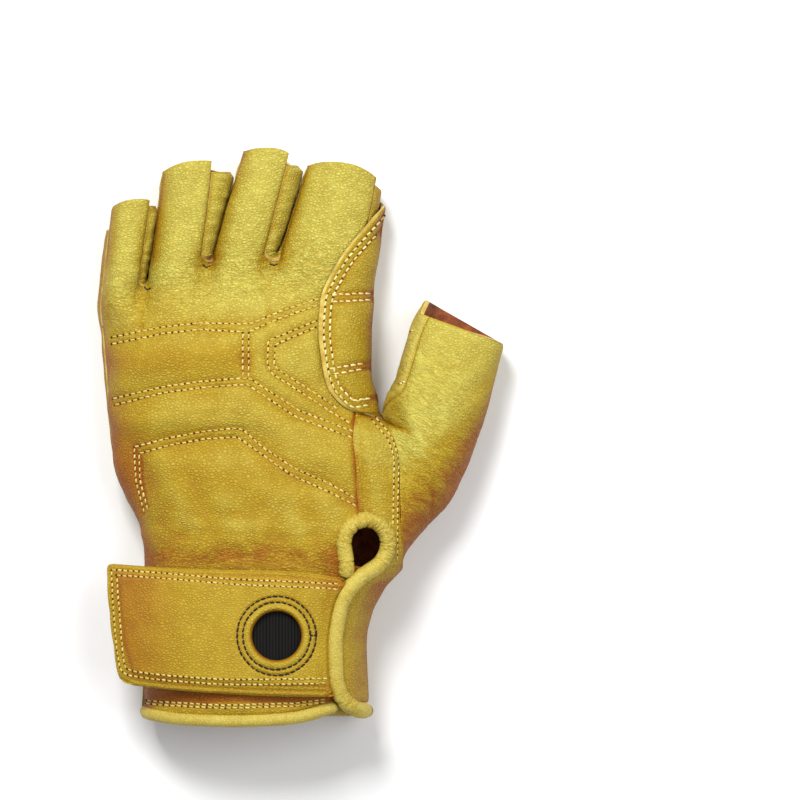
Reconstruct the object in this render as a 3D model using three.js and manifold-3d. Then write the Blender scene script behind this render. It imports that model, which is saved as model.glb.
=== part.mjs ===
// A left-hand half-finger climbing glove of thin leather, lying palm down.
// Millimetres. +Z is up, away from the surface that the glove lies on, +Y runs towards the
// fingers and +X towards the thumb. The origin is on the flat underside of the palm.
//
// The hand is one closed tube of leather whose sections come from a short table. Each piece
// of leather is a sheet that follows a range of angles round that tube, so pieces that are
// sewn together meet along one seam, and a second layer is the same tube a little larger.

import * as THREE from "three";
import { mergeVertices } from "three/addons/utils/BufferGeometryUtils.js";
import Module from "manifold-3d";

// Driving dimensions of the hand, in millimetres.
const palmHalf = 48; // half the width of the hand across the knuckles
const crotchReach = 56; // from the origin up to the crotches beside the middle finger
const cuffReach = 99; // from the origin down to the cuff's lower edge
const handHeight = 38; // from the surface to the top of the wrist
const fingerReach = 35; // the longest finger, from its crotch to its open end
const fingerHeight = 22; // a finger's height at its root
const thumbHeight = 24; // the thumb's height at its open end

// Driving dimensions of the leather and of the made-up parts.
const leather = 1.4; // the hand's leather
const overlayLeather = 1.4; // the second layer on the palm
const seamGap = 0.3; // between pieces that are sewn together
const overlayEase = 0.6; // the lobe lies this much looser on the back
const collar = 8; // how far the finger fronts stand out of the second layer
const rollRadius = 2.7; // the rolled binding round the vent
const hemRadius = 2.4; // the rolled binding along the cuff
const patchThickness = 1.0; // the loop patch under the strap
const strapThickness = 2.6; // the closure strap, two layers turned at the edges
const strapRim = 0.6; // its thickness along the stitched rim, as a share
const strapDroop = 12; // how far the strap's free end hangs below its middle
const clipRadius = 8.15; // the hole in the strap
const ventHalfWidth = 7.35; // the vent, to the middle of its binding
const ventHalfHeight = 7.9;
const ventRaise = 0.5; // the binding's middle lies this far above the leather's
const flapLift = 3.2; // the palm side's flap rides over the end of the strap by this much
const padHeight = 1.0; // the padding over the knuckles

// The second layer's underside rests on the surface, and the palm lies on top of it.
const restHeight = overlayLeather + seamGap;
const blendReach = 17; // the fingers round out of the back of the hand over this length

// Shapes of the sections, as shares and exponents.
const handSag = 1.35; // the palm side would hang this far below its flat, as a share
const fingerSag = 1.12; // the same for a finger
const fingerSquare = 2.2; // exponent of a finger's rounded section
const fingerSeam = 0.53; // height of a finger's side seams, as a share of fingerHeight
const fingerTaper = 0.9; // a finger's height at its open end, as a share of that at its root
const sideSeam = 0.33; // height of the little finger's side seam, as a share of handHeight
const sideGap = (0.5 * seamGap) / (sideSeam * handHeight); // half that seam's gap, as an angle

// How finely the sheets of leather are divided.
const backRows = 20;
const palmRows = 24;
const bareRows = 10; // rows of the palm at the cuff that have no second layer
const fingerRows = 4;
const barSides = 8;

// Sections of the hand. at is a share of crotchReach above the origin and of cuffReach below
// it; left and right are shares of palmHalf; top and seam are shares of handHeight; square is
// the exponent of the rounded section, 2 for an ellipse.
const HAND = [
  { at: -1.03, left: -0.725, right: 0.885, top: 0.93, seam: 0.37, square: 2.5 },
  { at: -0.91, left: -0.708, right: 0.854, top: 0.98, seam: 0.37, square: 2.5 },
  { at: -0.74, left: -0.695, right: 0.85, top: 1.0, seam: 0.37, square: 2.5 },
  { at: -0.65, left: -0.685, right: 0.88, top: 1.0, seam: 0.36, square: 2.5 },
  { at: -0.57, left: -0.68, right: 0.97, top: 0.99, seam: 0.35, square: 2.4 },
  { at: -0.505, left: -0.688, right: 1.1, top: 0.98, seam: 0.35, square: 2.4 },
  { at: -0.44, left: -0.7, right: 1.19, top: 0.97, seam: 0.35, square: 2.4 },
  { at: -0.35, left: -0.735, right: 1.27, top: 0.96, seam: 0.35, square: 2.4 },
  { at: -0.26, left: -0.82, right: 1.3, top: 0.95, seam: 0.35, square: 2.4 },
  { at: -0.14, left: -0.905, right: 1.27, top: 0.94, seam: 0.34, square: 2.4 },
  { at: -0.05, left: -0.925, right: 1.15, top: 0.92, seam: 0.34, square: 2.4 },
  { at: -0.01, left: -0.935, right: 0.98, top: 0.92, seam: 0.34, square: 2.4 },
  { at: 0.04, left: -0.942, right: 0.885, top: 0.91, seam: 0.33, square: 2.4 },
  { at: 0.13, left: -0.952, right: 0.87, top: 0.9, seam: 0.33, square: 2.4 },
  { at: 0.25, left: -0.965, right: 0.833, top: 0.89, seam: 0.33, square: 2.4 },
  { at: 0.54, left: -0.992, right: 0.838, top: 0.84, seam: 0.32, square: 2.4 },
  { at: 0.75, left: -1.0, right: 0.86, top: 0.76, seam: 0.32, square: 2.3 },
  { at: 1.0, left: -0.99, right: 0.88, top: 0.68, seam: 0.32, square: 2.3 },
];

// The fingers. root, tip and the half-widths are shares of palmHalf; end is the open end's
// furthest point as a share of fingerReach above crotchReach; peak is where across the finger
// that point lies; leftDrop and rightDrop say how far the end falls back beside it, as shares
// of fingerReach; seamRoot and seamTip place the seam on the right of the back, as the cosine
// of its angle round the finger.
const FINGERS = [
  {
    name: "little",
    root: -0.86,
    tip: -0.773,
    rootHalf: 0.14,
    tipHalf: 0.158,
    end: 0.51,
    peak: 0.66,
    leftDrop: 0.07,
    rightDrop: 0.055,
    seamRoot: 0.82,
    seamTip: 0.71,
  },
  {
    name: "ring",
    root: -0.471,
    tip: -0.328,
    rootHalf: 0.196,
    tipHalf: 0.25,
    end: 0.877,
    peak: 0.56,
    leftDrop: 0.106,
    rightDrop: 0.1,
    seamRoot: 0.78,
    seamTip: 0.36,
  },
  {
    name: "middle",
    root: -0.027,
    tip: 0.198,
    rootHalf: 0.206,
    tipHalf: 0.212,
    end: 1.0,
    peak: 0.37,
    leftDrop: 0.03,
    rightDrop: 0.16,
    seamRoot: 0.76,
    seamTip: 0.54,
  },
  {
    name: "index",
    root: 0.551,
    tip: 0.708,
    rootHalf: 0.329,
    tipHalf: 0.275,
    end: 0.866,
    peak: 0.25,
    leftDrop: 0.037,
    rightDrop: 0.2,
    seamRoot: 0.77,
    seamTip: 0.83,
  },
];
const LEFT_SEAM = -0.97; // cosine of the seam on the left of a finger's back
const FRONT_SEAM = 0.82; // cosine of both seams of a finger's front

// The line through the finger crotches: across is a share of palmHalf, up of crotchReach.
const CROTCHES = [
  { across: -1.0, up: 0.78 },
  { across: -0.7, up: 0.83 },
  { across: -0.25, up: 0.985 },
  { across: 0.2, up: 0.99 },
  { across: 0.9, up: 0.93 },
];

// The seam between the back and the palm side along the thumb's side of the back, then the
// middle of the vent and of the slit below it. at as in HAND, across a share of palmHalf.
const BACK_SEAM = [
  { at: -1.0, across: 0.73 },
  { at: -0.949, across: 0.706 },
  { at: -0.909, across: 0.654 },
  { at: -0.859, across: 0.631 },
  { at: -0.74, across: 0.625 },
  { at: -0.674, across: 0.642 },
  { at: -0.609, across: 0.673 },
  { at: -0.566, across: 0.725 },
  { at: -0.528, across: 0.8 },
  { at: -0.44, across: 0.84 },
  { at: -0.28, across: 0.815 },
  { at: -0.04, across: 0.777 },
  { at: 0.18, across: 0.785 },
  { at: 0.54, across: 0.8 },
  { at: 0.89, across: 0.823 },
  { at: 1.2, across: 0.858 },
  { at: 1.5, across: 0.938 },
];

// The seam that sets the thumb into the hand.
const THUMB_SEAM = [
  { at: -0.505, across: 1.096 },
  { at: -0.404, across: 1.1 },
  { at: -0.303, across: 1.1 },
  { at: -0.202, across: 1.096 },
  { at: -0.111, across: 1.079 },
  { at: -0.04, across: 1.033 },
  { at: 0.027, across: 0.963 },
];

// The thumb. Each row is one section, from the seam (along 0) to the open end (along 1): the
// ends of its width on the side of the index finger and on the outer side, as shares of
// palmHalf across and of crotchReach or cuffReach up, and its height as a share of thumbHeight.
const THUMB = [
  { along: 0, inX: 0.963, inY: 0.027, outX: 1.096, outY: -0.505, top: 1.3 },
  { along: 0.25, inX: 1.027, inY: 0.214, outX: 1.375, outY: -0.313, top: 1.28 },
  { along: 0.5, inX: 1.09, inY: 0.393, outX: 1.583, outY: -0.121, top: 1.2 },
  { along: 0.75, inX: 1.152, inY: 0.571, outX: 1.708, outY: 0.134, top: 1.08 },
  { along: 1, inX: 1.25, inY: 0.723, outX: 1.806, outY: 0.452, top: 0.98 },
];
const thumbSquare = 2.2; // exponent of its rounded section
const thumbSag = 1.2; // as handSag
const thumbBlend = 0.3; // it grows out of the hand over this share of its length
const thumbTrim = 0.13; // the thumb's back stops short of its front by this share

// The lobe in which the palm's second layer ends on the back of the hand.
const LOBE = [
  { across: 0.994, at: 1.309 },
  { across: 0.875, at: 1.179 },
  { across: 0.723, at: 1.03 },
  { across: 0.61, at: 0.888 },
  { across: 0.521, at: 0.714 },
  { across: 0.506, at: 0.536 },
  { across: 0.527, at: 0.352 },
  { across: 0.569, at: 0.196 },
  { across: 0.652, at: 0.098 },
  { across: 0.754, at: 0.041 },
  { across: 0.875, at: 0.055 },
];
// Before it is cut to that outline it reaches to this share of palmHalf on the hand, and
// over this many degrees of the index finger; it starts at the seam with part of its ease.
const lobe = { across: 0.45, sweep: 50, startEase: 0.6, columns: 4 };

// The cuff's edge on the back, and the closure strap's upper and lower edges.
const HEM = [
  { across: -0.8, at: -0.975 },
  { across: -0.42, at: -1.0 },
  { across: 0.0, at: -1.005 },
  { across: 0.42, at: -0.99 },
  { across: 0.62, at: -0.955 },
];
const STRAP_TOP = [
  { across: -0.948, at: -0.485 },
  { across: -0.298, at: -0.502 },
  { across: 0.271, at: -0.508 },
  { across: 0.69, at: -0.532 },
];
const STRAP_BOTTOM = [
  { across: -0.875, at: -0.85 },
  { across: -0.84, at: -0.876 },
  { across: -0.723, at: -0.892 },
  { across: 0.09, at: -0.919 },
  { across: 0.6, at: -0.926 },
];
const clipHole = { across: 0.225, at: -0.722 };
const vent = { across: 0.84, at: -0.414 };
const patch = { left: -0.5, right: 0.52, low: -0.9, high: -0.56 };

const wasm = await Module();
wasm.setup();

const degrees = Math.PI / 180;
const mix = (a, b, t) => a + (b - a) * t;
const clamp = (t, low = 0, high = 1) => Math.min(high, Math.max(low, t));
const smooth = (t) => clamp(t) ** 2 * (3 - 2 * clamp(t));
const power = (t, e) => Math.sign(t) * Math.abs(t) ** e;
const upAt = (at) => at * (at >= 0 ? crotchReach : cuffReach);

// A smooth curve through the rows of a table, with no overshoot between them.
function follow(rows, fromKey, toKey, from = (t) => t, scale = 1) {
  const x = rows.map((row) => from(row[fromKey]));
  const y = rows.map((row) => row[toKey] * scale);
  const rise = x.slice(1).map((v, i) => (y[i + 1] - y[i]) / (v - x[i]));
  const slope = y.map((_, i) => {
    const before = rise[Math.max(0, i - 1)];
    const after = rise[Math.min(rise.length - 1, i)];
    return before * after <= 0 ? 0 : (2 * before * after) / (before + after);
  });
  return (at) => {
    let i = x.findIndex((v) => v > at) - 1;
    if (i === -2) i = rise.length - 1;
    i = Math.max(0, i);
    const step = x[i + 1] - x[i];
    const t = clamp((at - x[i]) / step);
    const keep = (1 + 2 * t) * (1 - t) ** 2;
    return (
      y[i] * keep +
      y[i + 1] * (1 - keep) +
      step * slope[i] * t * (1 - t) ** 2 -
      step * slope[i + 1] * t * t * (1 - t)
    );
  };
}

const handLeft = follow(HAND, "at", "left", upAt, palmHalf);
const handRight = follow(HAND, "at", "right", upAt, palmHalf);
const handTop = follow(HAND, "at", "top", upAt, handHeight);
const handSeam = follow(HAND, "at", "seam", upAt, handHeight);
const handSquare = follow(HAND, "at", "square", upAt);
const backSeam = follow(BACK_SEAM, "at", "across", upAt, palmHalf);
const thumbSeam = follow(THUMB_SEAM, "at", "across", upAt, palmHalf);
const crotchLine = follow(CROTCHES, "across", "up", (v) => v * palmHalf, crotchReach);
const hemLine = follow(HEM, "across", "at", (v) => v * palmHalf, cuffReach);

// The section of the hand at height y.
function handSection(y) {
  const left = handLeft(y);
  const right = handRight(y);
  const seam = handSeam(y);
  return {
    middle: (left + right) / 2,
    half: (right - left) / 2,
    seam,
    rise: handTop(y) - seam,
    sag: (seam - restHeight) * handSag,
    square: handSquare(y),
  };
}

// The padding over the knuckles and the back of the hand, a soft swelling.
function padding(x, y) {
  const across = smooth((x / palmHalf + 0.98) / 0.25) * smooth((0.5 - x / palmHalf) / 0.35);
  const along = smooth((y / cuffReach + 0.1) / 0.12) * smooth((0.62 - y / crotchReach) / 0.2);
  return padHeight * across * along;
}

// A point of the hand's tube at an angle round it: 180 degrees is the little finger's side,
// 90 the back, 0 the thumb's side and -90 the palm, which is flat where it rests. depth is
// how far inside the leather's outer face the point lies.
function handPoint(angle, y, depth) {
  const s = handSection(y);
  const across = power(Math.cos(angle), 2 / s.square);
  const up = Math.abs(Math.sin(angle)) ** (2 / s.square);
  const x = s.middle + (s.half - depth) * across;
  const z =
    angle >= 0 && angle <= Math.PI
      ? s.seam + (s.rise - depth) * up + padding(x, y)
      : Math.max(restHeight + depth, s.seam - (s.sag - depth) * up);
  return new THREE.Vector3(x, y, z);
}

// The angle at which the tube's upper half lies at x.
function angleAt(x, y) {
  const s = handSection(y);
  const across = clamp((x - s.middle) / s.half, -1, 1);
  return Math.acos(power(across, s.square / 2));
}

// The height of the tube's upper or lower half over a point of the plan.
function handHeightAt(x, y, depth, upper) {
  const s = handSection(y);
  const across = clamp(Math.abs(x - s.middle) / (s.half - depth));
  const up = (1 - across ** s.square) ** (1 / s.square);
  if (upper) return s.seam + (s.rise - depth) * up + padding(x, y);
  return Math.max(restHeight + depth, s.seam - (s.sag - depth) * up);
}

// The open end of a finger at a share of its width, before any trim.
function fingerEnd(finger, share) {
  const side = share < finger.peak ? share / finger.peak : (1 - share) / (1 - finger.peak);
  const drop = share < finger.peak ? finger.leftDrop : finger.rightDrop;
  return crotchReach + fingerReach * (finger.end - drop * (1 - side) ** 2.5);
}

// A point of a finger's tube, with angles as in handPoint.
function fingerPoint(finger, angle, y, depth) {
  const root = crotchLine(finger.root * palmHalf);
  const end = crotchReach + fingerReach * finger.end;
  const t = clamp((y - root) / (end - root), -0.4, 1.1);
  const half = mix(finger.rootHalf, finger.tipHalf, t) * palmHalf;
  const seam = fingerSeam * fingerHeight;
  const rise = (fingerHeight + restHeight) * mix(1, fingerTaper, t) - seam;
  const sag = (seam - restHeight) * fingerSag;
  const e = 2 / fingerSquare;
  const x = mix(finger.root, finger.tip, t) * palmHalf + (half - depth) * power(Math.cos(angle), e);
  const up = Math.abs(Math.sin(angle)) ** e;
  const z =
    angle >= 0 && angle <= Math.PI
      ? seam + (rise - depth) * up
      : Math.max(restHeight + depth, seam - (sag - depth) * up);
  return new THREE.Vector3(x, y, z);
}

const rootOf = (finger) => crotchLine(finger.root * palmHalf);
const endOf = (finger) => crotchReach + fingerReach * finger.end;

// The angle of the seam on the right of a finger's back, which turns along the finger.
function rightSeam(finger, y) {
  const t = clamp((y - rootOf(finger)) / (endOf(finger) - rootOf(finger)));
  return Math.acos(mix(finger.seamRoot, finger.seamTip, t));
}
const leftSeam = Math.acos(LEFT_SEAM);
const frontRight = -Math.acos(FRONT_SEAM);
const frontLeft = -Math.acos(-FRONT_SEAM);

// The columns of a sheet that runs from the cuff into the four fingers: cellsOn says how many
// cells each finger has, and trim how much shorter than the finger the sheet is. A column
// has its place on the finger, as a function of height and depth, and the heights of its
// root and of its open end.
function fingerColumns(edges, cellsOn, trim) {
  const columns = [];
  FINGERS.forEach((finger, k) => {
    for (let i = 0; i <= cellsOn[k]; i++) {
      const share = i / cellsOn[k];
      const angleOn = (y) => mix(edges[k].first(y), edges[k].last(y), share);
      const place = (y, depth) => fingerPoint(finger, angleOn(y), y, depth);
      const atEnd = power(Math.cos(angleOn(endOf(finger))), 2 / fingerSquare);
      const nearRoot = crotchLine(place(crotchReach, 0).x);
      columns.push({
        last: i === cellsOn[k],
        place,
        root: crotchLine(place(nearRoot, 0).x),
        end: fingerEnd(finger, (1 + atEnd) / 2) - trim,
      });
    }
  });
  return columns;
}

// Fills in each column's angle round the hand from its place at the crotches.
function bodyAngles(columns, palmSide, seam) {
  for (const column of columns) {
    const p = column.place(column.root, 0);
    const angle = angleAt(p.x, column.root);
    const under = palmSide && p.z <= handSeam(column.root);
    column.angle = under ? -angle : angle;
  }
  columns[0].angle = (palmSide ? -1 : 1) * (Math.PI - sideGap);
  columns.at(-1).angle = seam(columns.at(-1).root);
  return columns;
}

// A point of a comb-shaped sheet: the hand's tube below, a finger's tube above, and a smooth
// change from one to the other below the crotches. seam gives the far edge's angle by height.
function combPoint(columns, i, y, depth, seam) {
  const column = columns[i];
  const first = columns[0].angle;
  const root = columns.at(-1).root;
  const stretch = (seam(Math.min(y, root)) - first) / (seam(root) - first);
  const angle = column.lobe ? column.lobe(y) : first + (column.angle - first) * stretch;
  const onHand = handPoint(angle, y, depth);
  const onFinger = column.place(y, depth);
  return onHand.lerp(onFinger, smooth((y - column.root + blendReach) / blendReach));
}

// Turns a grid of cells, some of them left out, into a closed wall of leather. place(i, j, k)
// gives the point of column i and row j on the outer face (k = 0) or the inner face (k = 1).
function wall(columnCount, rowCount, place, has = () => true) {
  const positions = [];
  const triangles = [];
  const id = (i, j, k) => (k * (rowCount + 1) + j) * (columnCount + 1) + i;
  for (let k = 0; k < 2; k++)
    for (let j = 0; j <= rowCount; j++)
      for (let i = 0; i <= columnCount; i++) positions.push(...place(i, j, k).toArray());
  const quad = (a, b, c, d) => triangles.push(a, b, c, a, c, d);
  const open = (i, j) => i < 0 || j < 0 || i >= columnCount || j >= rowCount || !has(i, j);
  for (let j = 0; j < rowCount; j++)
    for (let i = 0; i < columnCount; i++) {
      if (open(i, j)) continue;
      quad(id(i, j, 0), id(i + 1, j, 0), id(i + 1, j + 1, 0), id(i, j + 1, 0));
      quad(id(i, j, 1), id(i, j + 1, 1), id(i + 1, j + 1, 1), id(i + 1, j, 1));
      if (open(i, j - 1)) quad(id(i, j, 0), id(i, j, 1), id(i + 1, j, 1), id(i + 1, j, 0));
      if (open(i + 1, j))
        quad(id(i + 1, j, 0), id(i + 1, j, 1), id(i + 1, j + 1, 1), id(i + 1, j + 1, 0));
      if (open(i, j + 1))
        quad(id(i + 1, j + 1, 0), id(i + 1, j + 1, 1), id(i, j + 1, 1), id(i, j + 1, 0));
      if (open(i - 1, j)) quad(id(i, j + 1, 0), id(i, j + 1, 1), id(i, j, 1), id(i, j, 0));
    }
  const geometry = new THREE.BufferGeometry();
  geometry.setAttribute("position", new THREE.Float32BufferAttribute(positions, 3));
  geometry.setIndex(triangles);
  return faceOut(geometry);
}

// Turns a closed geometry's faces round if they point inwards.
function faceOut(geometry) {
  const p = geometry.getAttribute("position");
  const index = geometry.index.array;
  const corner = [0, 1, 2].map(() => new THREE.Vector3());
  let volume = 0;
  for (let i = 0; i < index.length; i += 3) {
    corner.forEach((c, n) => c.fromBufferAttribute(p, index[i + n]));
    volume += corner[0].dot(corner[1].cross(corner[2]));
  }
  if (volume > 0) return geometry;
  const turned = [];
  for (let i = 0; i < index.length; i += 3) turned.push(index[i], index[i + 2], index[i + 1]);
  geometry.setIndex(turned);
  return geometry;
}

// A three.js geometry as a solid that can be cut.
function solid(geometry) {
  const bare = geometry.clone();
  bare.deleteAttribute("normal");
  bare.deleteAttribute("uv");
  const merged = mergeVertices(bare, 1e-4);
  return new wasm.Manifold(
    new wasm.Mesh({
      numProp: 3,
      vertProperties: new Float32Array(merged.attributes.position.array),
      triVerts: new Uint32Array(merged.index.array),
    }),
  );
}

// A geometry with each of the cutters taken out of it.
function cut(geometry, ...cutters) {
  const left = cutters.reduce((rest, cutter) => rest.subtract(solid(cutter)), solid(geometry));
  const mesh = left.getMesh();
  const result = new THREE.BufferGeometry();
  result.setAttribute("position", new THREE.Float32BufferAttribute(mesh.vertProperties, 3));
  result.setIndex([...mesh.triVerts]);
  return result;
}

// An upright prism over an outline of the plan, from one height to another.
function prism(outline, from, to) {
  const shape = new THREE.Shape(outline.map(([x, y]) => new THREE.Vector2(x, y)));
  const geometry = new THREE.ExtrudeGeometry(shape, { depth: to - from, bevelEnabled: false });
  return geometry.translate(0, 0, from);
}

// A round bar along a smooth path with flat ends.
function bar(points, radius, sides, steps) {
  const ring = [];
  for (let i = 0; i < sides; i++) {
    const a = (2 * Math.PI * i) / sides;
    ring.push(new THREE.Vector2(radius * Math.cos(a), radius * Math.sin(a)));
  }
  const extrudePath = new THREE.CatmullRomCurve3(points, false, "centripetal");
  return new THREE.ExtrudeGeometry(new THREE.Shape(ring), { steps, extrudePath });
}

// The flap of the palm side rises over the strap's end, and sinks back to the side seam.
function flapRise(x, y) {
  const along = smooth((upAt(-0.44) - y) / (0.15 * cuffReach));
  const across = smooth((handRight(y) - x) / (0.15 * palmHalf));
  return flapLift * along * across;
}

// The height of the panels' middle face on the back of the hand, where bindings run.
const onBack = (x, y) => handHeightAt(x, y, leather / 2, true) + flapRise(x, y);

// The outline that the vent's binding follows: up one side of the keyhole and down the other,
// then along the slit to the cuff's corner.
const ventX = vent.across * palmHalf;
const ventY = vent.at * cuffReach;
function ventPath() {
  const path = [[ventX - 0.87 * ventHalfWidth, ventY - ventHalfHeight]];
  for (let a = 195; a >= -15; a -= 15)
    path.push([
      ventX + ventHalfWidth * Math.cos(a * degrees),
      ventY + ventHalfHeight * Math.sin(a * degrees),
    ]);
  path.push([ventX + 0.68 * ventHalfWidth, ventY - 0.8 * ventHalfHeight]);
  for (const row of BACK_SEAM.filter((r) => r.at < -0.5 && r.at > -0.96).reverse())
    path.push([row.across * palmHalf, upAt(row.at)]);
  path.push([0.79 * palmHalf, palmEdge + 0.5]);
  path.push([handRight(palmEdge) - 0.5 * rollRadius, palmEdge]);
  return path;
}

// The binding's path over the back of the hand.
function ventCourse() {
  return ventPath().map(([x, y]) => new THREE.Vector3(x, y, onBack(x, y) + ventRaise));
}

// What the binding and the open keyhole take out of the leather.
function ventCutters() {
  const round = [];
  for (let a = 0; a < 360; a += 15)
    round.push([
      ventX + ventHalfWidth * Math.cos(a * degrees),
      ventY + ventHalfHeight * Math.sin(a * degrees),
    ]);
  const clear = bar(ventCourse(), rollRadius + seamGap, barSides, 40);
  return [prism(round, 0.45 * handHeight, 1.5 * handHeight), clear];
}

// Everything on the thumb's side of the seam that sets the thumb in, and a little more.
function thumbCutter(aside = 0, above = 0) {
  const top = upAt(0.027 + above);
  const bottom = upAt(-0.505);
  const outline = [];
  for (let i = 0; i <= 12; i++) {
    const y = mix(bottom, top, i / 12);
    outline.push([thumbSeam(y) - aside, y]);
  }
  outline.push([3 * palmHalf, top], [3 * palmHalf, bottom]);
  return prism(outline, -handHeight, 2 * handHeight);
}

// Everything on the back of the hand outside the second layer's lobe.
function lobeCutter() {
  const far = 4 * palmHalf;
  const corner = (row) => new THREE.Vector3(row.across * palmHalf, upAt(row.at), 0);
  const rows = [...LOBE].reverse().map(corner);
  const edge = new THREE.CatmullRomCurve3(rows, false, "centripetal").getPoints(32);
  const outline = [[-far, -far], [far, -far], [far, edge[0].y]];
  edge.forEach((p) => outline.push([p.x, p.y]));
  outline.push([far, edge.at(-1).y], [far, far], [-far, far]);
  return prism(outline, handSeam(0) + 1, 2 * handHeight);
}

// The height of a row of a comb-shaped sheet: bodyRows of them from the start up to the
// crotches, and then topRows to the open end.
function rowHeight(column, j, bodyRows, topRows, start) {
  if (j <= bodyRows) return mix(start, column.root, j / bodyRows);
  return mix(column.root, column.end, (j - bodyRows) / topRows);
}

// The back of the hand with the backs of the four fingers.
function backPanel() {
  const half = seamGap / 2;
  const edges = FINGERS.map((finger, k) => ({
    first: () => (k === 0 ? Math.PI : leftSeam),
    last: (y) => rightSeam(finger, y),
  }));
  const seam = (y) => angleAt(backSeam(y) - half, y);
  const columns = bodyAngles(fingerColumns(edges, [3, 4, 4, 5], 0), false, seam);
  const place = (i, j, k) => {
    const atCuff = combPoint(columns, i, -cuffReach, 0, seam);
    const start = hemLine(atCuff.x) + hemRadius + seamGap;
    const y = rowHeight(columns[i], j, backRows, fingerRows, start);
    return combPoint(columns, i, y, k * leather, seam);
  };
  const has = (i, j) => j < backRows || !columns[i].last;
  return cut(wall(columns.length - 1, backRows + fingerRows, place, has), ...ventCutters());
}

// The palm with the fronts of the four fingers, which runs round the thumb's side to the seam
// on the back and forms the flap beside the slit.
const palmEdge = upAt(-0.98); // the middle of the cuff's binding on the palm side
const palmStart = palmEdge + hemRadius + seamGap;
const palmSeam = (y) => angleAt(backSeam(y) + 1.7 * seamGap, y);

function palmColumns(trim) {
  const gap = seamGap / (FINGERS[0].tipHalf * palmHalf);
  const edges = FINGERS.map((finger, k) => ({
    first: () => (k === 0 ? -Math.PI + gap : frontLeft),
    last: (y) => (k === 3 ? rightSeam(finger, y) - gap : frontRight),
  }));
  return bodyAngles(fingerColumns(edges, [3, 3, 3, 9], trim), true, palmSeam);
}

function palmPanel() {
  const columns = palmColumns(0.03 * fingerReach);
  const place = (i, j, k) => {
    const y = rowHeight(columns[i], j, palmRows, fingerRows, palmStart);
    const p = combPoint(columns, i, y, k * leather, palmSeam);
    if (p.z > handSeam(y) && p.x > 0) p.z += flapRise(p.x, y);
    return p;
  };
  const has = (i, j) => j < palmRows || !columns[i].last;
  const sheet = wall(columns.length - 1, palmRows + fingerRows, place, has);
  return cut(sheet, ...ventCutters(), thumbCutter());
}

// The second layer of the palm. It has the palm's own columns and rows, so that the two lie
// evenly on each other, and a few more columns for the lobe on the back of the hand.
function palmOverlay() {
  const columns = palmColumns(collar);
  const seamColumn = columns.at(-1);
  seamColumn.last = false;
  seamColumn.ease = lobe.startEase * overlayEase;
  for (let n = 1; n <= lobe.columns; n++) {
    const share = n / lobe.columns;
    const angleOn = (y) => rightSeam(FINGERS[3], y) + lobe.sweep * degrees * share;
    columns.push({
      last: n === lobe.columns,
      root: seamColumn.root,
      end: seamColumn.end,
      place: (y, depth) => fingerPoint(FINGERS[3], angleOn(y), y, depth - overlayEase * share),
      lobe: (y) => mix(palmSeam(y), angleAt(lobe.across * palmHalf, y), share),
      ease: overlayEase * mix(lobe.startEase, 1, share),
    });
  }
  const bodyRows = palmRows - bareRows;
  const topRows = fingerRows - 1;
  const place = (i, j, k) => {
    const y = rowHeight(columns[i], j + bareRows, palmRows, topRows, palmStart);
    const depth = k * overlayLeather - restHeight - (columns[i].ease ?? 0);
    return combPoint(columns, i, y, depth, palmSeam);
  };
  const has = (i, j) => j < bodyRows || !columns[i].last;
  const sheet = wall(columns.length - 1, bodyRows + topRows, place, has);
  return cut(sheet, lobeCutter(), thumbCutter(seamGap, 0.05));
}

// The strip of leather between two fingers: down the side of one, round the crotch and up the
// side of the next. It keeps clear of the curved panels beside it by a few seam gaps.
const fourchetteGap = 3.8;
function fourchette(k) {
  const near = FINGERS[k];
  const far = FINGERS[k + 1];
  const gapAngle = (fourchetteGap * seamGap) / (near.rootHalf * palmHalf);
  const nearAngle = (share, y) => mix(frontRight + gapAngle, rightSeam(near, y) - gapAngle, share);
  const farFront = 2 * Math.PI + frontLeft - gapAngle;
  const farAngle = (share) => mix(farFront, leftSeam + gapAngle, share);
  const turn = (angle) => (angle > Math.PI ? angle - 2 * Math.PI : angle);
  const onNear = (share, y, depth) => fingerPoint(near, nearAngle(share, y), y, depth);
  const onFar = (share, y, depth) => fingerPoint(far, turn(farAngle(share)), y, depth);
  const middle = ((near.root + near.rootHalf + far.root - far.rootHalf) / 2) * palmHalf;
  const root = crotchLine(middle);
  const spread = (onFar(1, root, 0).x - onNear(1, root, 0).x) / 2;
  const bend = root + spread + leather + 2 * seamGap;
  const columns = 3;
  const sideRows = 4;
  const bendRows = 6;
  const shorter = 0.01 * fingerReach;
  const place = (i, j, layer) => {
    const share = i / columns;
    const depth = layer * leather;
    if (j <= sideRows) {
      const top = fingerEnd(near, 1) - shorter;
      return onNear(share, mix(top, bend, j / sideRows), depth);
    }
    if (j >= sideRows + bendRows) {
      const top = fingerEnd(far, 0) - shorter;
      return onFar(share, mix(bend, top, (j - sideRows - bendRows) / sideRows), depth);
    }
    const a = onNear(share, bend, depth);
    const b = onFar(share, bend, depth);
    const turned = (Math.PI * (j - sideRows)) / bendRows;
    const reach = (b.x - a.x) / 2;
    const height = mix(a.z, b.z, (1 - Math.cos(turned)) / 2);
    return new THREE.Vector3(
      (a.x + b.x) / 2 - reach * Math.cos(turned),
      bend - reach * Math.sin(turned),
      height,
    );
  };
  return wall(columns, 2 * sideRows + bendRows, place);
}

const thumbAt = (key, scale) => follow(THUMB, "along", key, (t) => t, scale);
const thumbInX = thumbAt("inX", palmHalf);
const thumbOutX = thumbAt("outX", palmHalf);
const thumbTop = thumbAt("top", thumbHeight);
const thumbUp = (key) =>
  follow(
    THUMB.map((row) => ({ along: row.along, up: upAt(row[key]) })),
    "along",
    "up",
  );
const thumbInY = thumbUp("inY");
const thumbOutY = thumbUp("outY");

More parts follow.
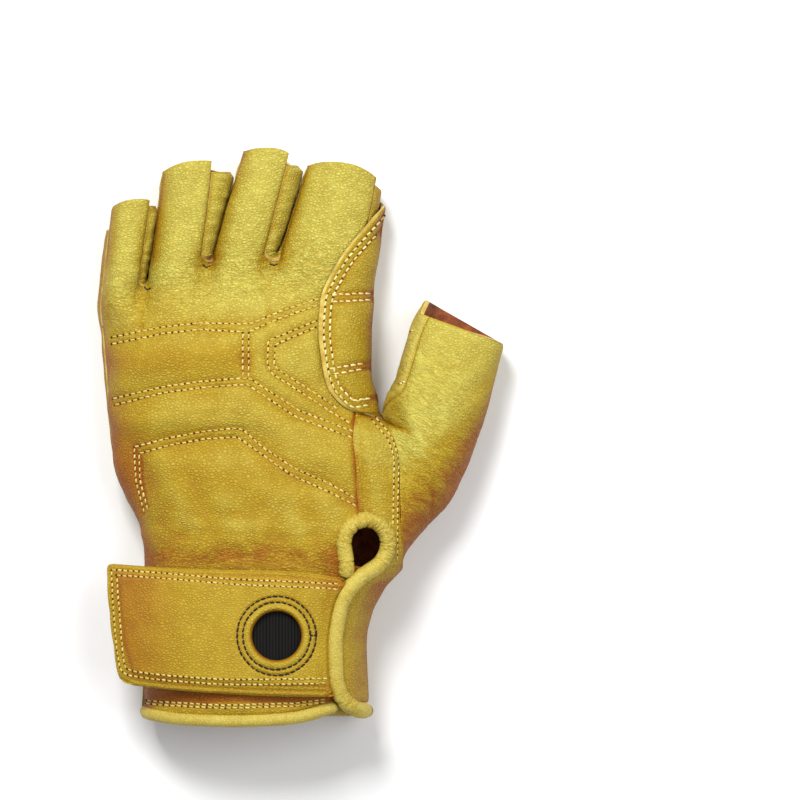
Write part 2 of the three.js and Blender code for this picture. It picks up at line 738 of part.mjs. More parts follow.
// A point of the thumb's tube: along 0 is the seam in the hand and 1 the open end. Angles run
// from 0 on the outer side over the back to 180 beside the index finger.
function thumbPoint(angle, along, depth) {
  const e = 2 / thumbSquare;
  const across = power(Math.cos(angle), e);
  const inner = new THREE.Vector2(thumbInX(along), thumbInY(along));
  const outer = new THREE.Vector2(thumbOutX(along), thumbOutY(along));
  const half = outer.distanceTo(inner) / 2;
  const share = (1 + (across * (half - depth)) / half) / 2;
  const plan = inner.lerp(outer, share);
  const nearSeam = clamp(1 - along / thumbBlend);
  const atSeam = smooth(nearSeam) * mix(0.95, 0.4, Math.abs(across) ** 6);
  const seamX = thumbSeam(plan.y) + seamGap;
  plan.x += nearSeam ** 1.5 * (seamX - plan.x);
  const upper = angle >= 0 && angle <= Math.PI;
  const up = Math.abs(Math.sin(angle)) ** e;
  const seam = mix(handSeam(0), 0.5 * thumbHeight, smooth(along));
  const own = upper
    ? seam + (thumbTop(along) - seam - depth) * up
    : Math.max(restHeight + depth, seam - (thumbSag * (seam - restHeight) - depth) * up);
  const onHand = handHeightAt(plan.x, plan.y, depth, upper);
  return new THREE.Vector3(plan.x, plan.y, mix(own, onHand, atSeam));
}

// How far along the thumb its leather reaches at an angle: the back is cut shorter.
function thumbEnd(angle) {
  const upper = angle > 0 && angle < Math.PI ? Math.sin(angle) : 0;
  const inner = (1 - Math.cos(angle)) / 2;
  return 1 - thumbTrim * smooth(3 * upper) * inner ** 1.5;
}

// A strip of the thumb's tube between two angles that may turn along it, from one share of
// its length to another. outer is its outer face's depth.
function thumbStrip(first, last, { cells, rows = 10, outer = 0, from = 0, to = 1 }) {
  const place = (i, j, k) => {
    const share = i / cells;
    const t = j / rows;
    const angle = mix(first(t), last(t), share);
    const along = mix(from, to * thumbEnd(angle), t);
    const turned = angle > Math.PI ? angle - 2 * Math.PI : angle;
    return thumbPoint(turned, along, outer + k * leather);
  };
  return wall(cells, rows, place);
}

const gussetHalf = (t) => mix(12, 42, smooth(t / 0.4)) * degrees;
const thumbGap = (t) => seamGap / mix(0.12, 0.27, t) / palmHalf;

// The strap's upper and lower edges, and its free end at a share of its width.
const strapEdge = (table) => follow(table, "across", "at", (v) => v * palmHalf, cuffReach);
const strapTopEdge = strapEdge(STRAP_TOP);
const strapBottomEdge = strapEdge(STRAP_BOTTOM);
const strapFrom = (share) => mix(STRAP_BOTTOM[0].across, STRAP_TOP[0].across, share) * palmHalf;

// The strap lies over the wrist in a flatter arch than the wrist's own.
function strapHeight(x, y) {
  const s = handSection(y);
  return s.seam + s.rise - strapDroop * (Math.abs(x - s.middle) / (1.03 * palmHalf)) ** 2.6;
}

function strap() {
  const columns = 22;
  const rows = 8;
  const lift = 2 * seamGap + patchThickness;
  const place = (i, j, k) => {
    const share = j / rows;
    const u = 1 - (1 - i / columns) ** 1.15;
    const x0 = strapFrom(share);
    const xGuess = mix(x0, 0.6 * palmHalf, u);
    const y = mix(strapBottomEdge(xGuess), strapTopEdge(xGuess), share);
    const x1 = backSeam(Math.min(y, upAt(-0.56))) - rollRadius;
    const x = mix(x0, x1, u);
    const rim = Math.min(1, i, columns - i, j, rows - j);
    const thickness = mix(strapRim, 1, rim) * strapThickness;
    const z = strapHeight(x, y) + lift + (k === 0 ? thickness : 0);
    return new THREE.Vector3(x, y, z);
  };
  const hole = new THREE.CylinderGeometry(clipRadius, clipRadius, 3 * handHeight, 28);
  hole.rotateX(Math.PI / 2);
  hole.translate(clipHole.across * palmHalf, clipHole.at * cuffReach, 0);
  return cut(wall(columns, rows, place), hole, ventCutters()[1]);
}

// The loop patch, sewn on the back of the cuff under the strap.
function loopPatch() {
  const columns = 14;
  const rows = 5;
  const place = (i, j, k) => {
    const x = mix(patch.left, patch.right, i / columns) * palmHalf;
    const y = mix(patch.low, patch.high, j / rows) * cuffReach;
    const z = handHeightAt(x, y, 0, true) + seamGap + (k === 0 ? patchThickness : 0);
    return new THREE.Vector3(x, y, z);
  };
  return wall(columns, rows, place);
}

// The rolled binding of the vent and of the slit's edge.
function ventBinding() {
  return bar(ventCourse(), rollRadius, barSides, 56);
}

// The rolled binding of the cuff's edge, once round from the flap's corner to the slit.
function hemBinding() {
  const points = [];
  const inside = hemRadius - restHeight + 0.25; // so that the roll just clears the surface
  const step = 12;
  for (let a = 4; a > -176; a -= step) points.push(handPoint(a * degrees, palmEdge, inside));
  for (let a = 176; a > 44; a -= step) {
    const x = handPoint(a * degrees, -cuffReach, inside).x;
    const y = mix(palmEdge, hemLine(x), smooth((184 - a) / 20));
    points.push(handPoint(a * degrees, y, inside));
  }
  return bar(points, hemRadius, barSides, 48);
}

const glove = new THREE.Group();

// One named piece with its own material.
function piece(name, geometry, colour, roughness) {
  const material = new THREE.MeshStandardMaterial({ color: colour, roughness, metalness: 0 });
  const mesh = new THREE.Mesh(geometry, material);
  mesh.name = name;
  glove.add(mesh);
}

const yellow = 0xcfae3c;
const paleYellow = 0xd8bf55;
const black = 0x17171a;

piece("back_panel", backPanel(), yellow, 0.55);
piece("palm_panel", palmPanel(), yellow, 0.6);
piece("palm_overlay", palmOverlay(), yellow, 0.6);
FINGERS.slice(0, 3).forEach((finger, k) => {
  const name = "fourchette_" + finger.name + "_" + FINGERS[k + 1].name;
  piece(name, fourchette(k), yellow, 0.6);
});
const overBack = (t) => Math.PI - gussetHalf(t) - thumbGap(t);
const underFront = (t) => Math.PI + gussetHalf(t) + mix(2, 1, t) * thumbGap(t);
const outerSeam = -8 * degrees; // on the thumb's outer side, a little below its middle
const backStart = (t) => outerSeam + thumbGap(t);
const frontEnd = (t) => 2 * Math.PI + outerSeam - thumbGap(t);
const gussetBack = (t) => Math.PI - gussetHalf(t);
const gussetFront = (t) => Math.PI + gussetHalf(t);
const patchStart = () => 232 * degrees;
const patchEnd = () => 300 * degrees;
const thumbPatch = { cells: 4, rows: 7, outer: -restHeight, from: 0.35, to: 0.93 };
piece("thumb_back", thumbStrip(backStart, overBack, { cells: 9 }), yellow, 0.55);
piece("thumb_front", thumbStrip(underFront, frontEnd, { cells: 9 }), yellow, 0.6);
piece("thumb_gusset", thumbStrip(gussetBack, gussetFront, { cells: 5 }), paleYellow, 0.55);
piece("thumb_overlay", thumbStrip(patchStart, patchEnd, thumbPatch), yellow, 0.6);
piece("closure_strap", strap(), yellow, 0.5);
piece("loop_patch", loopPatch(), black, 0.95);
piece("vent_binding", ventBinding(), paleYellow, 0.45);
piece("hem_binding", hemBinding(), paleYellow, 0.45);

export default glove;
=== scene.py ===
# %% [markdown]
# # A half-finger climbing glove in yellow leather
# The glove lies palm down, seen from straight above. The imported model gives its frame:
# every piece here is made in the same place, finer and with its real finish. Lengths are
# worked out in millimetres, as a glove maker would, and turned into metres at the end.

# %% Load the frame
import math

import bpy
import numpy as np
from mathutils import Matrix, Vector
from mathutils.bvhtree import BVHTree


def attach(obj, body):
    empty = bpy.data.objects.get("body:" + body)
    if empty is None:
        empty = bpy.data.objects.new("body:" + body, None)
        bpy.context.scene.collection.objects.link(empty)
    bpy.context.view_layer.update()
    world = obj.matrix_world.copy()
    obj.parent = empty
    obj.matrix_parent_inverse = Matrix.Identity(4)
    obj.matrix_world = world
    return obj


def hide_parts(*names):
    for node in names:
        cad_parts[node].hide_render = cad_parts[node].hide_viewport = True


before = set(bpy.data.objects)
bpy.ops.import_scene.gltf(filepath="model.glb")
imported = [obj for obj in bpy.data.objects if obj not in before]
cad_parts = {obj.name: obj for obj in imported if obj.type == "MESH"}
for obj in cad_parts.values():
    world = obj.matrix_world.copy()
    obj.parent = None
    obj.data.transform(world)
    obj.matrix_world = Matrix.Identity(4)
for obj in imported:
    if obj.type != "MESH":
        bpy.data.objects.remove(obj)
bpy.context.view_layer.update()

# %% [markdown]
# ## Named sizes and tables
# A glove is drafted from a few sizes: the width across the knuckles, the reach up to the
# finger crotches and down to the cuff, and the heights. Tables hold shares of these sizes,
# so one change would carry through the whole draft.

# %% Sizes in millimetres
# the hand: half its width, reach up to the crotches and down to the cuff, height
PALM_HALF, CROTCH_REACH, CUFF_REACH, HAND_HEIGHT = 48.0, 56.0, 99.0, 38.0
FINGER_REACH, FINGER_HEIGHT, THUMB_HEIGHT = 35.0, 22.0, 24.0
# the leather's two layers, the gap between neighbours, and how high the hand's own layer rests
LEATHER, OVERLAY, GAP = 1.4, 1.4, 0.3
REST = OVERLAY + GAP
# the finger collars' depth, and the two rolls' radii
COLLAR, ROLL, HEM_ROLL = 8.0, 2.7, 2.4
PATCH_THICK, STRAP_THICK, STRAP_DROOP, CLIP_RADIUS = 1.0, 2.6, 12.0, 8.15
VENT_X, VENT_Y, VENT_HALF_X, VENT_HALF_Y = 40.32, -40.99, 7.35, 7.9
# the flap's rise, the padding, the length over which fingers blend into the hand, the hem's place
FLAP_LIFT, PAD, BLEND, HEM_UP = 3.2, 1.0, 17.0, -97.02
FINGER_SQUARE, THUMB_SQUARE, THUMB_TRIM, TUCK = 2.2, 2.2, 0.13, 0.7
THUMB_BOTTOM, CROTCH_MIDDLES = -50.3, (-32.7, -13.0, 9.4)
MM = 0.001
TURN = 2 * np.pi
DEG = np.pi / 180

# at, left, right, top, seam, square
HAND = np.array([
    (-1.03, -0.725, 0.885, 0.93, 0.37, 2.5), (-0.91, -0.708, 0.854, 0.98, 0.37, 2.5),
    (-0.74, -0.695, 0.85, 1.0, 0.37, 2.5), (-0.65, -0.685, 0.88, 1.0, 0.36, 2.5),
    (-0.57, -0.68, 0.97, 0.99, 0.35, 2.4), (-0.505, -0.688, 1.1, 0.98, 0.35, 2.4),
    (-0.44, -0.7, 1.19, 0.97, 0.35, 2.4), (-0.35, -0.735, 1.27, 0.96, 0.35, 2.4),
    (-0.26, -0.82, 1.3, 0.95, 0.35, 2.4), (-0.14, -0.905, 1.27, 0.94, 0.34, 2.4),
    (-0.05, -0.925, 1.15, 0.92, 0.34, 2.4), (-0.01, -0.935, 0.98, 0.92, 0.34, 2.4),
    (0.04, -0.942, 0.885, 0.91, 0.33, 2.4), (0.13, -0.952, 0.87, 0.9, 0.33, 2.4),
    (0.25, -0.965, 0.833, 0.89, 0.33, 2.4), (0.54, -0.992, 0.838, 0.84, 0.32, 2.4),
    (0.75, -1.0, 0.86, 0.76, 0.32, 2.3), (1.0, -0.99, 0.88, 0.68, 0.32, 2.3),
])
# root, tip, root half, tip half, end, peak, left drop, right drop, seam at root, seam at tip
FINGERS = np.array([
    (-0.86, -0.773, 0.14, 0.158, 0.51, 0.66, 0.07, 0.055, 0.82, 0.71),
    (-0.471, -0.328, 0.196, 0.25, 0.877, 0.56, 0.106, 0.1, 0.78, 0.36),
    (-0.027, 0.198, 0.206, 0.212, 1.0, 0.37, 0.03, 0.16, 0.76, 0.54),
    (0.551, 0.708, 0.329, 0.275, 0.866, 0.25, 0.037, 0.2, 0.77, 0.83),
])
CROTCHES = np.array([(-1.0, 0.78), (-0.7, 0.83), (-0.25, 0.985), (0.2, 0.99), (0.9, 0.93)])
BACK_SEAM = np.array([
    (-1.0, 0.73), (-0.949, 0.706), (-0.909, 0.654), (-0.859, 0.631), (-0.74, 0.625),
    (-0.674, 0.642), (-0.609, 0.673), (-0.566, 0.725), (-0.528, 0.8), (-0.44, 0.84),
    (-0.28, 0.815), (-0.04, 0.777), (0.18, 0.785), (0.54, 0.8), (0.89, 0.823),
    (1.2, 0.858), (1.5, 0.938),
])
THUMB_SEAM = np.array([
    (-0.505, 1.096), (-0.404, 1.1), (-0.303, 1.1), (-0.202, 1.096), (-0.111, 1.079),
    (-0.04, 1.033), (0.027, 0.963),
])
# along, inner x, inner y, outer x, outer y, top
THUMB = np.array([
    (0, 0.963, 0.027, 1.096, -0.505, 1.3), (0.25, 1.027, 0.214, 1.375, -0.313, 1.28),
    (0.5, 1.09, 0.393, 1.583, -0.121, 1.2), (0.75, 1.152, 0.571, 1.708, 0.134, 1.08),
    (1, 1.25, 0.723, 1.806, 0.452, 0.98),
])
HEM = np.array([(-0.8, -0.975), (-0.42, -1.0), (0.0, -1.005), (0.42, -0.99), (0.62, -0.955)])
STRAP_TOP = np.array([(-0.948, -0.485), (-0.298, -0.502), (0.271, -0.508), (0.69, -0.532)])
STRAP_BOTTOM = np.array([(-0.875, -0.85), (-0.84, -0.876), (-0.723, -0.892), (0.09, -0.919),
                         (0.6, -0.926)])
print("tables:", len(HAND), "hand sections,", len(FINGERS), "fingers,", len(THUMB), "thumb sections")

# %% [markdown]
# ## Smooth curves through the tables
# A pattern maker draws a fair line through measured marks. A cubic between each two marks,
# with the harmonic mean of the neighbouring slopes at each mark, does the same and never
# overshoots, so a table can be read as a line of the real glove.


# %% Curves through tables
def mix(a, b, t):
    """a at t = 0, b at t = 1."""
    return a + (b - a) * t


def smooth(t):
    """Rises from 0 to 1 between t = 0 and t = 1 with level ends: 3 t squared - 2 t cubed."""
    t = np.clip(t, 0, 1)
    return t * t * (3 - 2 * t)


def bell(t, width):
    """1 at t = 0 and falling off on both sides: e to the power minus (t / width) squared."""
    return np.exp(-((t / width) ** 2))


def signed_power(t, e):
    """The sign of t times its size to the power e."""
    return np.sign(t) * np.abs(t) ** e


def up_at(at):
    """A table's height share in millimetres: of the crotch reach above 0, of the cuff reach below."""
    return np.where(at >= 0, at * CROTCH_REACH, at * CUFF_REACH)


def curve(x, y):
    """The fair line through the marks (x, y), as a function of x."""
    rise = np.diff(y) / np.diff(x)
    before, after = np.r_[rise[0], rise], np.r_[rise, rise[-1]]
    total = np.where(before + after == 0, 1, before + after)
    slope = np.where(before * after > 0, 2 * before * after / total, 0)

    def at(t):
        i = np.clip(np.searchsorted(x, t, side="right") - 1, 0, len(x) - 2)
        step = x[i + 1] - x[i]
        s = np.clip((t - x[i]) / step, 0, 1)
        keep = (1 + 2 * s) * (1 - s) ** 2
        bend = slope[i] * s * (1 - s) ** 2 - slope[i + 1] * s * s * (1 - s)
        return y[i] * keep + y[i + 1] * (1 - keep) + step * bend

    return at


HAND_UP = up_at(HAND[:, 0])
hand_left, hand_right = (curve(HAND_UP, HAND[:, c] * PALM_HALF) for c in (1, 2))
hand_top, hand_seam = (curve(HAND_UP, HAND[:, c] * HAND_HEIGHT) for c in (3, 4))
hand_square = curve(HAND_UP, HAND[:, 5])
back_seam, thumb_seam = (curve(up_at(t[:, 0]), t[:, 1] * PALM_HALF) for t in (BACK_SEAM, THUMB_SEAM))
crotch_line = curve(CROTCHES[:, 0] * PALM_HALF, CROTCHES[:, 1] * CROTCH_REACH)
hem_line, strap_top, strap_bottom = (curve(t[:, 0] * PALM_HALF, t[:, 1] * CUFF_REACH)
                                     for t in (HEM, STRAP_TOP, STRAP_BOTTOM))
print("back seam at the knuckles: x =", round(float(back_seam(40.0)), 1), "mm")

# %% [markdown]
# ## The hand and the fingers as tubes
# The leather of an empty glove keeps the shape of a rounded tube, flat where it rests. One could
# block it out with a subdivided cube and sculpt it, but then nothing says where a seam lies. Here a
# section is a superellipse, squarer than an ellipse by its exponent, and an angle round it is an
# exact place on the leather, so seams meet. Each finger is a smaller tube of the same kind that
# grows out of the hand's over the last centimetres below the crotch.


# %% Tube of the hand
def stack(x, y, z):
    """Three arrays as one array of points."""
    return np.stack(np.broadcast_arrays(x, y, z), -1).astype(float)


def section(y):
    """Middle, half width, seam height, rise above it, sag below it and exponent at height y."""
    left, right, seam = hand_left(y), hand_right(y), hand_seam(y)
    sag = (seam - REST) * 1.35
    return (left + right) / 2, (right - left) / 2, seam, hand_top(y) - seam, sag, hand_square(y)


def tube_height(above, seam, rise, sag, up, depth):
    """Height in a tube: rise above the seam or sag below it, each times up, and never under the rest."""
    lower = np.maximum(REST + depth, seam - (sag - depth) * up)
    return np.where(above, seam + (rise - depth) * up, lower)


def padding(x, y):
    """A soft swell over the knuckles: the product of a smooth window across and one along."""
    across = smooth((x / PALM_HALF + 0.98) / 0.25) * smooth((0.5 - x / PALM_HALF) / 0.35)
    along = smooth((y / CUFF_REACH + 0.1) / 0.12) * smooth((0.62 - y / CROTCH_REACH) / 0.2)
    return PAD * across * along


def hand(angle, y, depth=0.0):
    """The tube's point at an angle: x by cos and z by sin, each to the power 2 / exponent."""
    middle, half, seam, rise, sag, square = section(y)
    x = middle + (half - depth) * signed_power(np.cos(angle), 2 / square)
    up = np.abs(np.sin(angle)) ** (2 / square)
    above = (angle >= 0) & (angle <= np.pi)
    return stack(x, y, tube_height(above, seam, rise, sag, up, depth) + above * padding(x, y))


def angle_at(x, y):
    """The angle at which the tube's upper half lies at x: the section's equation, solved."""
    middle, half, _, _, _, square = section(y)
    return np.arccos(signed_power(np.clip((x - middle) / half, -1, 1), square / 2))


def height_at(x, y, depth=0.0, upper=True):
    """The height of the tube's upper or lower half over a point of the plan."""
    middle, half, seam, rise, sag, square = section(y)
    across = np.clip(np.abs(x - middle) / (half - depth), 0, 1)
    up = (1 - across**square) ** (1 / square)
    return tube_height(upper, seam, rise, sag, up, depth) + upper * padding(x, y)


print("hand's top at y = 0:", hand(np.array(np.pi / 2), np.array(0.0)).round(1))


# %% Tubes of the fingers
def along_finger(k, y, low=-0.4, high=1.1):
    """How far y lies along finger k: 0 at its crotch line, 1 at its reach."""
    base = crotch_line(FINGERS[k, 0] * PALM_HALF)
    return np.clip((y - base) / (CROTCH_REACH + FINGER_REACH * FINGERS[k, 4] - base), low, high)


def finger_width(k, t):
    """Middle and half width of finger k at t along it, both straight from root to tip."""
    return tuple(mix(FINGERS[k, c], FINGERS[k, c + 1], t) * PALM_HALF for c in (0, 2))


def finger(k, angle, y, depth=0.0):
    """A point of finger k's tube: the hand's formula with a middle and a width that change along it."""
    t = along_finger(k, y)
    middle, half = finger_width(k, t)
    seam = 0.53 * FINGER_HEIGHT
    rise = (FINGER_HEIGHT + REST) * mix(1, 0.9, t) - seam
    x = middle + (half - depth) * signed_power(np.cos(angle), 2 / FINGER_SQUARE)
    up = np.abs(np.sin(angle)) ** (2 / FINGER_SQUARE)
    above = (angle >= 0) & (angle <= np.pi)
    return stack(x, y, tube_height(above, seam, rise, (seam - REST) * 1.12, up, depth))


def finger_end(k, share):
    """Finger k's open end: from its peak it drops on both sides with the distance to the power 2.5."""
    end, peak, left, right = (FINGERS[k, c] for c in (4, 5, 6, 7))
    side = np.where(share < peak, share / peak, (1 - share) / (1 - peak))
    drop = np.where(share < peak, left, right)
    return CROTCH_REACH + FINGER_REACH * (end - drop * (1 - side) ** 2.5)


def right_seam(k, y):
    """The angle of the seam on the right of finger k's back: its cosine runs from root to tip."""
    return np.arccos(mix(FINGERS[k, 8], FINGERS[k, 9], along_finger(k, y, 0, 1)))


LEFT_SEAM = math.acos(-0.97)
FRONT_RIGHT, FRONT_LEFT = -math.acos(0.82), -math.acos(-0.82)


print("middle finger's top at y = 70:", finger(2, np.array(np.pi / 2), np.array(70.0)).round(1))

# %% [markdown]
# ## Relief: stitch lines, folds and grain
# Sewing pulls leather down into a groove and lets it swell beside it. A sculpting brush or a
# displacement picture could do this; a distance to the sewn lines does it exactly and needs no
# picture: a narrow valley along each line, and a pillow away from it. The leather's own slow waves
# come from lattice noise, a random table read with smooth steps.

# %% Sewn lines on the back, in plan
QUILT = {
    "knuckle_upper": [(-44.6, 27.6), (-27.3, 30.9), (-14.8, 32.3), (-1.4, 31.9), (2.4, 32.1),
                      (12, 36.2), (24.9, 40.6)],
    "knuckle_lower": [(-44.6, 25.3), (-27.3, 28.7), (-14.8, 30.1), (-1.0, 29.3)],
    "knuckle_right": [(1.4, 29.3), (12, 33.9), (24.4, 38.2)],
    "bridge_left": [(-0.6, 29.0), (-0.5, 14.2)],
    "bridge_right": [(1.4, 28.9), (1.4, 14.0)],
    "window_outer": [(23.9, 33.0), (7.9, 26.4), (7.6, 18.6), (9.2, 15.4), (27.3, 3.6), (35.2, -1.2)],
    "window_inner": [(23.5, 30.8), (10.3, 25.1), (9.8, 18.4), (11.6, 16.4), (28.0, 5.9), (31.0, 3.6)],
    "middle_upper": [(-44.3, 7.0), (-27.3, 11.0), (-14.8, 12.8), (-0.5, 13.9), (2.2, 13.5),
                     (18.3, 3.0), (36.3, -3.9)],
    "middle_lower": [(-43.6, 4.9), (-27.3, 9.0), (-13.9, 10.8), (0.8, 11.8), (17.3, 0.9),
                     (35.9, -6.0)],
    "lower_upper": [(-36.9, -9.1), (-26.3, -6.2), (-14.8, -4.0), (-3.3, -2.7), (-0.5, -3.3),
                    (6.2, -9.1), (16.8, -16.1), (28.2, -21.1), (38.6, -27.0)],
    "lower_lower": [(-35.3, -11.2), (-25.3, -8.5), (-13.9, -6.3), (-2.4, -5.6), (6.2, -11.7),
                    (15.8, -18.4), (27.3, -23.5), (37.4, -28.6)],
    "side_outer": [(-36.9, -9.1), (-36.4, -20.0), (-33.6, -31.0)],
    "side_inner": [(-35.3, -11.2), (-34.9, -20.5), (-32.4, -30.0)],
}
LOBE = np.array([
    (0.994, 1.309), (0.875, 1.179), (0.723, 1.03), (0.61, 0.888), (0.521, 0.714),
    (0.506, 0.536), (0.527, 0.352), (0.569, 0.196), (0.652, 0.098), (0.754, 0.041),
    (0.875, 0.055),
]) * (PALM_HALF, CROTCH_REACH)


print("quilted rows:", len(QUILT))


# %% Lines of the plan
def chords(points):
    """Points as an array, and the length along the straight legs between them."""
    p = np.asarray(points, float)
    return p, np.r_[0, np.cumsum(np.linalg.norm(np.diff(p, axis=0), axis=1))]


def fair(points, step=0.5):
    """A smooth line through points of the plan, as points a step apart: cubic in the chord length."""
    p, along = chords(points)
    t = np.arange(0, along[-1] + step / 2, step)
    return np.stack([curve(along, p[:, c])(t) for c in range(p.shape[1])], -1)


def straight(points, step=0.5):
    """The straight legs through points, as points a step apart."""
    p, along = chords(points)
    t = np.linspace(0, along[-1], max(2, int(round(along[-1] / step)) + 1))
    return np.stack([np.interp(t, along, p[:, c]) for c in range(p.shape[1])], -1)


def beside(line, distance):
    """A line of the plan moved sideways, to its left where the distance is positive."""
    d = np.gradient(line[:, :2], axis=0)
    d /= np.linalg.norm(d, axis=1, keepdims=True)
    return line[:, :2] + distance * np.stack([-d[:, 1], d[:, 0]], -1)


def nearest(x, y, lines):
    """Distance from each point of the plan to the nearest line, and the length along that line."""
    best, along = np.full(np.shape(x), 1e3), np.zeros(np.shape(x))
    for line in lines:
        start = 0.0
        for a, b in zip(line[:-1], line[1:]):
            length = max(1e-9, math.dist(a, b))
            ux, uy = (b[0] - a[0]) / length, (b[1] - a[1]) / length
            s = np.clip((x - a[0]) * ux + (y - a[1]) * uy, 0, length)
            d = np.hypot(x - a[0] - s * ux, y - a[1] - s * uy)
            closer = d < best
            best = np.where(closer, d, best)
            along = np.where(closer, start + s, along)
            start += length
    return best, along


quilt_lines = [straight(points, 3.0) for points in QUILT.values()]
lobe_line = fair(LOBE, 1.0)
LOBE_EDGE = np.array([
    (-4, 47.5), (-1.0, 44.8), (0.8, 41.5), (2.0, 37.6), (3.2, 34.6), (5.5, 31.3), (11, 27.3),
    (19.7, 25.3), (30, 24.3), (40, 25.0), (49.7, 29.3), (57.7, 34.7), (66, 42.0), (73.3, 47.7),
    (79, 50),
])
lobe_x = curve(LOBE_EDGE[:, 0], LOBE_EDGE[:, 1])
print("lobe's edge:", len(lobe_line), "mm long")

# %% Slow random waves
chance = np.random.RandomState(7)
LATTICE = chance.rand(64, 64)


def noise(x, y, size, seed=0):
    """Slow random waves of one size, from -1 to 1: a lattice of random values, smoothly joined."""
    u, v = x / size + 11.3 * seed, y / size + 5.7 * seed
    i, j = np.floor(u).astype(int), np.floor(v).astype(int)
    s, t = smooth(u - i), smooth(v - j)
    low = mix(LATTICE[i % 64, j % 64], LATTICE[(i + 1) % 64, j % 64], s)
    high = mix(LATTICE[i % 64, (j + 1) % 64], LATTICE[(i + 1) % 64, (j + 1) % 64], s)
    return 2 * mix(low, high, t) - 1


print("lattice of", LATTICE.size, "random values")

# %% [markdown]
# ## Meshes from grids
# Each piece of leather is a sheet with a smooth outside, a suede inside and a cut edge between
# them. A Solidify modifier could thicken a surface, but here the inside is a second grid, so the
# thickness stays true where the outside is folded. Joining the two rims closes the wall, and three
# material slots tell its faces apart.


# %% Mesh helpers
def place_object(name, data):
    """A new object with the given mesh, light or camera, put in the scene at the origin."""
    made = bpy.data.objects.new(name, data)
    bpy.context.scene.collection.objects.link(made)
    return made


def normals_of(p):
    """Unit normals of a grid of points: the cross product of its two directions."""
    n = np.cross(np.gradient(p, axis=1), np.gradient(p, axis=0))
    return n / np.maximum(np.linalg.norm(n, axis=-1, keepdims=True), 1e-9)


def make_mesh(name, points, faces, groups, materials, marks=None, sharp=38):
    """A mesh object from points in millimetres, faces, their material slots and the points' marks."""
    mesh = bpy.data.meshes.new(name)
    faces = np.asarray(faces, np.int32)
    count, corners = faces.shape
    mesh.vertices.add(len(points))
    mesh.vertices.foreach_set("co", (np.asarray(points) * MM).astype(np.float32).ravel())
    mesh.loops.add(count * corners)
    mesh.loops.foreach_set("vertex_index", faces.ravel())
    mesh.polygons.add(count)
    mesh.polygons.foreach_set("loop_start", np.arange(0, count * corners, corners, dtype=np.int32))
    mesh.polygons.foreach_set("material_index", np.full(count, groups, np.int32))
    mesh.update(calc_edges=True)
    mesh.validate()
    mesh.shade_smooth()
    mesh.set_sharp_from_angle(angle=sharp * DEG)
    for key, values in (marks or {}).items():
        layer = mesh.attributes.new(key, "FLOAT", "POINT")
        layer.data.foreach_set("value", np.asarray(values, np.float32).ravel())
    for material in materials:
        mesh.materials.append(material)
    return place_object(name, mesh)


def outward(points, faces):
    """The faces turned so that the volume they enclose, a sum of triple products, is positive."""
    p = points[faces]
    spans = sum(np.cross(p[:, i], p[:, i + 1]) for i in range(1, faces.shape[1] - 1))
    return faces[:, ::-1] if np.einsum("ij,ij->", p[:, 0], spans) < 0 else faces


print("mesh helpers ready")


# %% Walls of leather
def raised(outer, inner, relief, inner_relief=None):
    """Both faces of a sheet moved along the outside's unit normals by the relief in millimetres."""
    n = normals_of(outer)
    n = n * np.sign(np.nansum(n * (outer - inner)))
    inner_relief = relief if inner_relief is None else inner_relief
    return outer + n * relief[..., None], inner + n * inner_relief[..., None]


def wall(outer, inner, has):
    """Closed faces over two grids where has is true: outside, inside and rim, all turned outwards."""
    rows, cols = has.shape
    ids = np.arange((rows + 1) * (cols + 1)).reshape(rows + 1, cols + 1)
    a, b, c, d = ids[:-1, :-1], ids[:-1, 1:], ids[1:, 1:], ids[1:, :-1]
    quads = [np.stack([a, b, c, d], -1)[has]]
    quads.append(np.stack([a, d, c, b], -1)[has] + ids.size)
    padded = np.pad(has, 1)
    inside = padded[1:-1, 1:-1]
    for open_side, start, end in (
        (inside & ~padded[:-2, 1:-1], (0, 0), (0, 1)),
        (inside & ~padded[1:-1, 2:], (0, 1), (1, 1)),
        (inside & ~padded[2:, 1:-1], (1, 1), (1, 0)),
        (inside & ~padded[1:-1, :-2], (1, 0), (0, 0)),
    ):
        p = ids[start[0]:start[0] + rows, start[1]:start[1] + cols][open_side]
        q = ids[end[0]:end[0] + rows, end[1]:end[1] + cols][open_side]
        quads.append(np.stack([p, p + ids.size, q + ids.size, q], -1))
    groups = np.concatenate([np.full(len(q), g) for q, g in zip(quads, (0, 1, 2, 2, 2, 2))])
    points = np.concatenate([outer.reshape(-1, 3), inner.reshape(-1, 3)])
    faces = outward(points, np.concatenate(quads))
    used = np.zeros(len(points), bool)
    used[faces] = True
    return points[used], (np.cumsum(used) - 1)[faces], groups, used


def hollows(p, reach):
    """How far each point lies under the mean of the points reach cells away, along the normal."""
    n, total = normals_of(p), 0.0
    for axis in (0, 1):
        width = [(reach, reach) if a == axis else (0, 0) for a in range(3)]
        wide = np.pad(p, width, mode="reflect", reflect_type="odd")
        size = p.shape[axis]
        near = np.take(wide, np.arange(size), axis) + np.take(wide, np.arange(size) + 2 * reach, axis)
        total = total + np.sum((near / 2 - p) * n, -1)
    return total


def sheet(name, outer, inner, has, materials, tone, reach=4, hollow_shade=0.9, **marks):
    """A piece of leather from its two faces, with painted shade darkening its tone where it lies in a
    hollow.
    """
    points, faces, groups, used = wall(outer, inner, has)
    toward = np.sign(np.nansum(normals_of(outer) * (outer - inner)))
    # painted shade: the tone is marked darker where the outside lies in a hollow
    marks["tone"] = tone + hollow_shade * np.clip(hollows(outer, reach) * toward, -0.25, 0.5)
    marks = {key: np.tile((values + np.zeros(outer.shape[:2])).ravel(), 2)[used]
             for key, values in marks.items()}
    piece = make_mesh(name, points, faces, groups, materials, marks)
    print(f"{name}: {2 * len(faces)} triangles")
    return piece


print("sheets: slot 0 outside, 1 inside, 2 cut edge")

